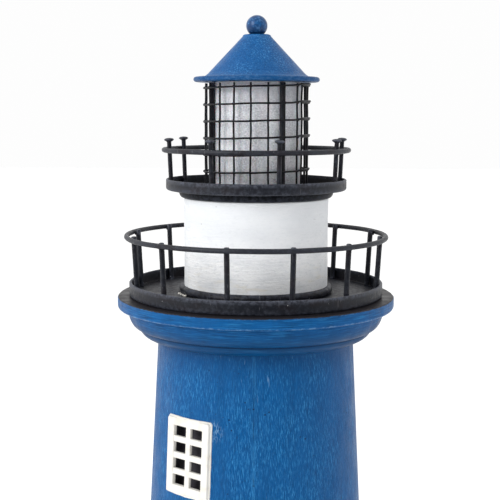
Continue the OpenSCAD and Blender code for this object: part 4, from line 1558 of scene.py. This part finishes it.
@dataclass
class Drum:
    """The white drum between the galleries, the bead round its foot and the collar over it."""

    shop: Workshop
    top_round: float = 0.6
    dowel_hole_r: float = 6.05
    dowel_hole_deep: float = 19.0
    bead_w: float = 1.9
    collar_lip: float = 0.7
    collar_foot_out: float = 0.3
    foot_edge: float = 0.2
    bead_sunk: float = 0.57
    fleck_turn: float = -76.0
    fleck_count: int = 4

    def build(self) -> None:
        """Builds the drum, the bead and the collar."""
        radius, foot, top = extent("drum")
        ceiling = foot + self.dowel_hole_deep
        outline = [(0, ceiling), (self.dowel_hole_r, ceiling), (self.dowel_hole_r, foot)]
        outline += [(radius - self.foot_edge, foot), (radius, foot + self.foot_edge)]
        outline += quarter(Corner.OVER, radius, top - self.top_round, self.top_round, self.top_round, 5)
        outline += [(0, top)]
        finish = PlasterPaint("drum_chalk", foot_z=foot).make()
        lathe = Lathe(segments=224, step=1.2, waver=0.12, waver_size=18, seed=7)
        settle(lathe.turn("drum_turned", outline, finish), Body.TOWER, "drum_paint", "drum")
        outer, low, high = extent("foot_ring")
        inner, half, belly = outer - self.bead_w, (high - low) / 2, self.bead_w - self.bead_sunk
        outline = [(inner, low)] + quarter(Corner.UNDER, outer, low + half, belly, half)
        outline += quarter(Corner.OVER, outer, low + half, belly, half) + [(inner, high), (inner, low)]
        caulk = WornBlack("bead_black", shown(8, 9, 15), shown(18, 13, 22), wisps=0.3, grain=0.6, gloss=0.2).make()
        lathe = Lathe(segments=320, step=0.5, waver=0.05, lumps=0.3, lump_size=2.3, lift=0.05, seed=8)
        settle(lathe.turn("foot_bead", outline, caulk), Body.TOWER, "black_metal", "foot_ring")
        self.flecks(outer, low)
        outer, low, high = extent("collar")
        shoulder = high - self.collar_lip
        under = outer - radius - self.collar_foot_out
        outline = [(0, low)] + quarter(Corner.UNDER, outer, shoulder, under, shoulder - low)
        outline += [(outer, high), (0, high)]
        # The collar's black is a darker, duller copy: painted shade under the upper tray.
        dark = WornBlack("collar_black", shown(2, 4, 8), shown(5, 5, 9), wisps=0.08, specks=0.2, gloss=0.08).make()
        settle(Lathe(waver=0.06, seed=9).turn("collar_turned", outline, dark), Body.TOWER, "black_metal", "collar")
        dress(self.shop.steel, "tray_screws")

    def flecks(self, radius: float, foot: float) -> None:
        """Leaves a few flecks of the drum's white paint on the tray in front of the bead.

        Args:
            radius: the bead's outer radius.
            foot: the height of the tray's floor.
        """
        places = []
        for i in range(self.fleck_count):
            turn = math.radians(self.fleck_turn + 4 * i)
            out = radius + 0.5 + 0.4 * math.sin(7 * turn)
            places.append((at_turn(turn, out, foot + 0.12), Vector((0, 0, turn))))
        piece = self.shop.stood("paint_flecks", blob("fleck_part", 1.3, 0.8), places, self.shop.white, Smallest=0.4,
                                Largest=1.3, Dents=0.25 * MM, Dent_Size=0.5 * MM, Seed=6)
        settle(piece, Body.TOWER, "white_paint")


# ---- Lantern ----


@dataclass
class Lantern:
    """The frosted sleeve, its four corner posts and the cage of welded mesh round them."""

    shop: Workshop
    sleeve_wall: float = 1.45
    sleeve_edge: float = 0.15
    post_r: float = 1.05
    post_count: int = 4
    wire_r: float = 0.35
    upright_count: int = 19
    first_upright: float = -6.5
    seam_turn: float = 69.0
    seam_span: float = 19.0
    hoop_pitch: float = 6.35
    hoop_drop: float = 1.8
    hoop_tilt: float = 1.4
    weld_bite: float = 0.1
    fit: float = 0.02
    swollen: float = 1.08
    ripple: float = 0.05
    over_turn: float = 14.0
    over_rise: float = 0.45
    over_out: float = 0.3

    def uprights(self) -> list[float]:
        """The turns of the upright wires, in radians, with the two that overlap at the seam last."""
        plain = [self.first_upright + i * 360 / self.upright_count for i in range(self.upright_count)]
        seam = [self.seam_turn - self.seam_span / 2, self.seam_turn + self.seam_span / 2]
        return [math.radians(turn) for turn in plain + seam]

    def hoop_point(self, turn: float, height: float, radius: float) -> Vector:
        """A point of a hoop, at a turn in radians, on the ring's tilt."""
        return at_turn(turn, radius, height + radius * math.sin(turn) * math.sin(math.radians(self.hoop_tilt)))

    def hoop(self, height: float, radius: float, index: int) -> list[Vector]:
        """The run of one hoop, whose last stretch rides over its first where the mesh's ends overlap.

        Args:
            height: the height of its middle.
            radius: its radius.
            index: which hoop it is, counted from the top.

        Returns:
            Its points.
        """
        start = math.radians(self.seam_turn - self.seam_span / 2 - 2.5 - 1.5 * math.sin(index * 2.1))
        end = math.radians(360 + self.seam_turn + self.seam_span / 2 + 2.5 + 1.5 * math.cos(index * 1.7))
        climb = math.radians(self.over_turn)
        steps = 200
        run = []
        for i in range(steps + 1):
            turn = start + (end - start) * i / steps
            over = min(1.0, max(0.0, (turn - start - math.tau + climb) / climb))
            out = self.ripple * math.cos(turn * self.upright_count) + self.over_out * over * over * (3 - 2 * over)
            run.append(self.hoop_point(turn, height + self.over_rise * over, radius + out))
        return run

    def sleeve(self) -> None:
        """Builds the sleeve."""
        outer, foot, top = extent("lamp_sleeve")
        inner = outer - self.sleeve_wall
        edge = self.sleeve_edge
        outline = [(inner, foot), (outer, foot), (outer, top - edge), (outer - edge, top)]
        outline += [(inner + edge, top), (inner, top - edge), (inner, foot)]
        finish = FrostedPlastic("sleeve_frosted", eave_z=top).make()
        piece = Lathe(segments=160, step=2.5, waver=0.05, lift=0, seed=11).turn("sleeve_tube", outline, finish)
        settle(piece, Body.TOWER, "frosted_plastic", "lamp_sleeve")

    def posts(self) -> None:
        """Stands the corner posts round the sleeve."""
        nodes = [f"cage_post_{i}" for i in range(1, self.post_count + 1)]
        _, foot, top = extent(nodes[0])
        r, length = self.post_r, top - foot
        outline = [(0, 0), (r, 0), (r, length - 0.2), (r - 0.2, length), (0, length)]
        part = Lathe(segments=20, step=2.0, waver=0, lift=0).turn("corner_part", outline, self.shop.black)
        low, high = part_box(nodes[0])
        ring_r = math.hypot((low.x + high.x) / 2, (low.y + high.y) / 2) / MM
        places = [(at_turn(turn_of(node), ring_r, foot), Vector((0, 0, turn_of(node)))) for node in nodes]
        piece = self.shop.stood("cage_posts_stood", part, places, self.shop.black, Smallest=1.0, Largest=1.0,
                                Dents=0.1 * MM, Dent_Size=4 * MM, Seed=4)
        settle(piece, Body.TOWER, "black_metal", *nodes)

    def mesh(self) -> None:
        """Builds the uprights, the hoops and the weld at each place where they cross."""
        finish = WornBlack("mesh_black", shown(10, 11, 16), shown(16, 13, 18), wisps=0.3, specks=0.0).make()
        _, foot, top = extent("mesh_uprights")
        sleeve_r, _, eaves = extent("lamp_sleeve")
        upright_r = sleeve_r + self.fit + self.post_r + self.post_r + self.fit + self.wire_r
        hoop_r = upright_r + 2 * self.wire_r - self.weld_bite
        turns = self.uprights()
        steps = 44
        levels = [foot + (top - foot) * i / steps for i in range(steps + 1)]
        runs = [[at_turn(turn, upright_r, level) for level in levels] for turn in turns]
        drawn_r = self.wire_r * self.swollen * MM
        look = {"Radius": drawn_r, "Sides": 10, "Waver_Length": 8 * MM, "Thick_and_Thin": 0.3}
        piece = self.shop.drawn("mesh_uprights_drawn", runs, False, finish, Waver=0.3 * MM, Seed=3, **look)
        settle(piece, Body.TOWER, "mesh_wire", "mesh_uprights")
        room = eaves - foot - self.hoop_drop - hoop_r * math.sin(math.radians(self.hoop_tilt)) - 2 * self.wire_r
        count = math.floor(room / self.hoop_pitch) + 1
        heights = [eaves - self.hoop_drop - i * self.hoop_pitch for i in range(count)]
        runs = [self.hoop(height, hoop_r, i) for i, height in enumerate(heights)]
        piece = self.shop.drawn("mesh_hoops_drawn", runs, False, finish, Waver=0.26 * MM, Seed=7, **look)
        settle(piece, Body.TOWER, "mesh_wire", "mesh_hoops")
        part = blob("weld_part", 3.3 * self.wire_r, 2.9 * self.wire_r)
        middle_r = (upright_r + hoop_r) / 2
        places = [
            (self.hoop_point(turn, height, middle_r), Vector((0, 0, turn))) for turn in turns for height in heights
        ]
        piece = self.shop.stood("mesh_welds", part, places, finish, Smallest=0.8, Largest=1.25, Dents=0.2 * MM,
                                Dent_Size=0.8 * MM, Seed=9)
        settle(piece, Body.TOWER, "mesh_wire")

    def build(self) -> None:
        """Builds the lantern."""
        self.sleeve()
        self.posts()
        self.mesh()


@dataclass
class Roof:
    """The turned roof with its brim, the ball on its pin, the plug under it and a few drops of glue."""

    shop: Workshop
    brim_t: float = 1.9
    ledge: float = 4.3
    fillet: float = 1.2
    fillet_foot: float = 0.3
    top_r: float = 5.5
    shoulder: float = 0.8
    ball_seat: float = 0.8
    glue_turn: float = -26.0

    def build(self) -> None:
        """Builds the roof, the ball and the glue."""
        radius, foot, top = extent("roof")
        half, brim_top, cone_r = self.brim_t / 2, foot + self.brim_t, radius - self.ledge
        ball_r = extent("ball")[0]
        ball_low, ball_high = (corner.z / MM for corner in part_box("ball"))
        seat_z = ball_high - ball_r
        dish_r = math.sqrt(max(0.0, (ball_r + 0.05) ** 2 - (seat_z - top) ** 2))
        outline = [(0, foot)] + quarter(Corner.UNDER, radius, foot + half, half, half)
        outline += quarter(Corner.OVER, radius, foot + half, half, half)[1:]
        outline += [(cone_r + self.fillet, brim_top), (cone_r, brim_top + self.fillet_foot)]
        outline += [(cone_r - self.fillet, brim_top + self.fillet)]
        outline += [(self.top_r, top - self.shoulder), (self.top_r - 0.25, top - 0.25)]
        outline += [(self.top_r - self.shoulder, top)]
        outline += [(dish_r, top), (dish_r * 0.7, top - 0.5), (0, top - self.ball_seat)]
        # The pale corner colour paints a highlight along the hollow where the cone meets the brim, and the brim
        # below it is darkened as painted shade.
        finish = BrushedPaint(
            "roof_blue", shown(8, 84, 146), shown(0, 62, 112), shown(64, 132, 190), corner=shown(92, 146, 196),
            shade_below=brim_top - 0.5, streak=0.6, streak_long=1.5, streak_depth=0.1, rubbing_and_highlight=0.25).make()
        lathe = Lathe(segments=224, step=1.0, waver=0.07, lift=0.05, seed=12)
        settle(lathe.turn("roof_turned", outline, finish), Body.ROOF, "blue_paint", "roof")
        steps = 28
        arc = [math.pi * i / steps - math.pi / 2 for i in range(steps + 1)]
        outline = [(ball_r * math.cos(a), seat_z + ball_r * math.sin(a)) for a in arc]
        outline[0], outline[-1] = (0, outline[0][1]), (0, outline[-1][1])
        # The ball's darker foot is painted shade where it sits on the roof.
        dabbed = MottledPaint(
            "ball_blue", shown(6, 76, 130), shown(0, 54, 102), shown(92, 146, 200), foot_z=top - 0.6,
            grime=shown(2, 22, 52), gloss=0.4, rubbing_and_highlight=0.0, roughness=0.36)
        lathe = Lathe(segments=72, step=0.5, waver=0.06, waver_size=3, lift=0.05, seed=13)
        settle(lathe.turn("ball_turned", outline, dabbed.make()), Body.ROOF, "blue_paint", "ball")
        self.glue(radius, foot)
        dress(self.shop.wood, "roof_plug")
        dress(self.shop.steel, "ball_pin")

    def glue(self, radius: float, foot: float) -> None:
        """Leaves a few dark drops of glue under the brim.

        Args:
            radius: the brim's radius.
            foot: the height of its underside.
        """
        part = blob("glue_part", 1.9, 1.1, rings=3)
        turn = math.radians(self.glue_turn)
        drops = ((0.0, 2.2, 0.1), (0.06, 2.0, 0.2), (1.35, 1.9, 0.25))
        places = [
            (at_turn(turn + along, radius - inward, foot + up), Vector((0, 0, turn))) for along, inward, up in drops
        ]
        piece = self.shop.stood("eave_glue", part, places, self.shop.black, Smallest=0.5, Largest=1.1,
                                Dents=0.25 * MM, Dent_Size=1.2 * MM, Seed=2)
        settle(piece, Body.ROOF, "black_metal")


@dataclass
class TeaLight:
    """The battery tea light in the lantern. Its CAD nodes are its real shape and stay."""

    def build(self) -> None:
        """Dresses the tea light."""
        looks = (
            (MouldedPlastic("shell_white", glow=0.1), ("light_cup", "light_base")),
            (MouldedPlastic("flame_cream", shown(246, 226, 186), shown(240, 210, 158), 0.5, 0.4), ("light_flame",)),
            (MouldedPlastic("lamp_clear", shown(250, 240, 200), shown(244, 230, 180), 0.15, 0.3), ("light_led",)),
            (BareMetal("cell_bright", shown(190, 192, 195), shown(150, 151, 154), 0.22), ("light_cell",)),
            (MouldedPlastic("switch_black", shown(30, 30, 33), shown(40, 40, 43), 0.5), ("light_switch",)),
        )
        for finish, nodes in looks:
            dress(finish.make(), *nodes)


# ---- Studio ----


@dataclass
class Studio:
    """The pale ground, the soft light and the camera."""

    gallery_z: float = 259.2
    lens: float = 79.2
    eye: tuple[float, float, float] = (-2.3, -425.64, 70.74)
    pitch: float = 7.175
    roll: float = 0.2
    front_light: float = 0.08
    side_light: float = 1.0
    backdrop: float = 0.985

    def camera(self) -> None:
        """Makes the camera, whose eye is given from the axis and the lower gallery's foot."""
        data = bpy.data.cameras.new("viewpoint")
        data.lens, data.sensor_width = self.lens, 36.0
        data.clip_start, data.clip_end = 0.01, 50.0
        viewpoint = bpy.data.objects.new("viewpoint", data)
        x, y, z = self.eye
        tip = Matrix.Rotation(math.radians(90 - self.pitch), 4, "X")
        turn = tip @ Matrix.Rotation(math.radians(self.roll), 4, "Z")
        viewpoint.matrix_world = Matrix.Translation(Vector((x, y, z + self.gallery_z)) * MM) @ turn
        bpy.context.scene.collection.objects.link(viewpoint)
        bpy.context.scene.camera = viewpoint

    def ground(self) -> None:
        """Lays the pale ground."""
        made = bmesh.new()
        bmesh.ops.create_grid(made, x_segments=8, y_segments=8, size=6.0)
        mesh = bpy.data.meshes.new("ground")
        made.to_mesh(mesh)
        made.free()
        ground = added("ground", mesh, Paper().make())
        ground.visible_glossy = False

    def lamp(
        self, name: str, place: tuple[float, float, float], size: float, power: float, glossy: bool = True
    ) -> None:
        """Hangs a soft square lamp that faces the ornament.

        Args:
            name: the lamp's name.
            place: where it hangs, in metres.
            size: its width, in metres.
            power: its power, in watts.
            glossy: whether it shows in shiny surfaces.
        """
        data = bpy.data.lights.new(name, "AREA")
        data.shape, data.size, data.energy = "SQUARE", size, power
        lamp = bpy.data.objects.new(name, data)
        lamp.visible_glossy = glossy
        aim = Vector((0, 0, 0.25)) - Vector(place)
        lamp.matrix_world = Matrix.Translation(place) @ aim.to_track_quat("-Z", "Y").to_matrix().to_4x4()
        bpy.context.scene.collection.objects.link(lamp)

    def sky(self) -> None:
        """Surrounds the scene with white light, dimmer from the front, before a plain white backdrop."""
        world = bpy.data.worlds.new("white_room")
        world.use_nodes = True
        room = NodeMaker(world.node_tree)
        shade = world.node_tree.nodes["Background"]
        shade.inputs["Color"].default_value = (1, 1, 1, 1)
        way = room.node("ShaderNodeSeparateXYZ", {0: room.node("ShaderNodeTexCoord", {}).outputs["Generated"]})
        step = {"Value": way.outputs["Y"], "From Min": -0.95, "From Max": -0.15,
                "To Min": self.front_light, "To Max": self.side_light}
        front = room.node("ShaderNodeMapRange", step, interpolation_type="SMOOTHSTEP")
        seen = room.node("ShaderNodeLightPath", {}).outputs["Is Camera Ray"]
        either = room.node("ShaderNodeMix", {0: seen, 2: front.outputs[0], 3: self.backdrop}, data_type="FLOAT")
        room.tree.links.new(either.outputs[0], shade.inputs["Strength"])
        bpy.context.scene.world = world

    def build(self) -> None:
        """Sets the studio up."""
        self.camera()
        self.ground()
        self.sky()
        self.lamp("key", (-1.2, -1.05, 1.05), 0.9, 19.5)
        self.lamp("fill", (0.6, -1.5, 0.4), 0.9, 4.0, glossy=False)
        bpy.context.scene.view_settings.view_transform = "Standard"


def main() -> None:
    """Builds the ornament, sub-assembly by sub-assembly, from the ground up."""
    logging.basicConfig(level=logging.INFO, format="%(name)s: %(message)s")
    noise.seed_set(WOBBLE_SEED)
    Studio().build()
    shop = Workshop()
    wall = Wall()
    Tower(shop, wall).build()
    for node, turn in (("window_upper", DOOR_TURN), ("window_lower", DOOR_TURN), ("window_back", DOOR_TURN + 180)):
        Window(shop, wall, node, turn).build()
    Door(shop, wall).build()
    Cornice(wall).build()
    Gallery(shop, "lower", 12, "baluster", 1.0, 3.2, 1.0, hole_r=6.05, seed=1).build()
    Drum(shop).build()
    Gallery(shop, "upper", 8, "nail_post", 0.85, 2.5, 0.8, hole_r=1.5, head_r=1.85, seed=5).build()
    Lantern(shop).build()
    Roof(shop).build()
    TeaLight().build()


if __name__ == "__main__":
    main()
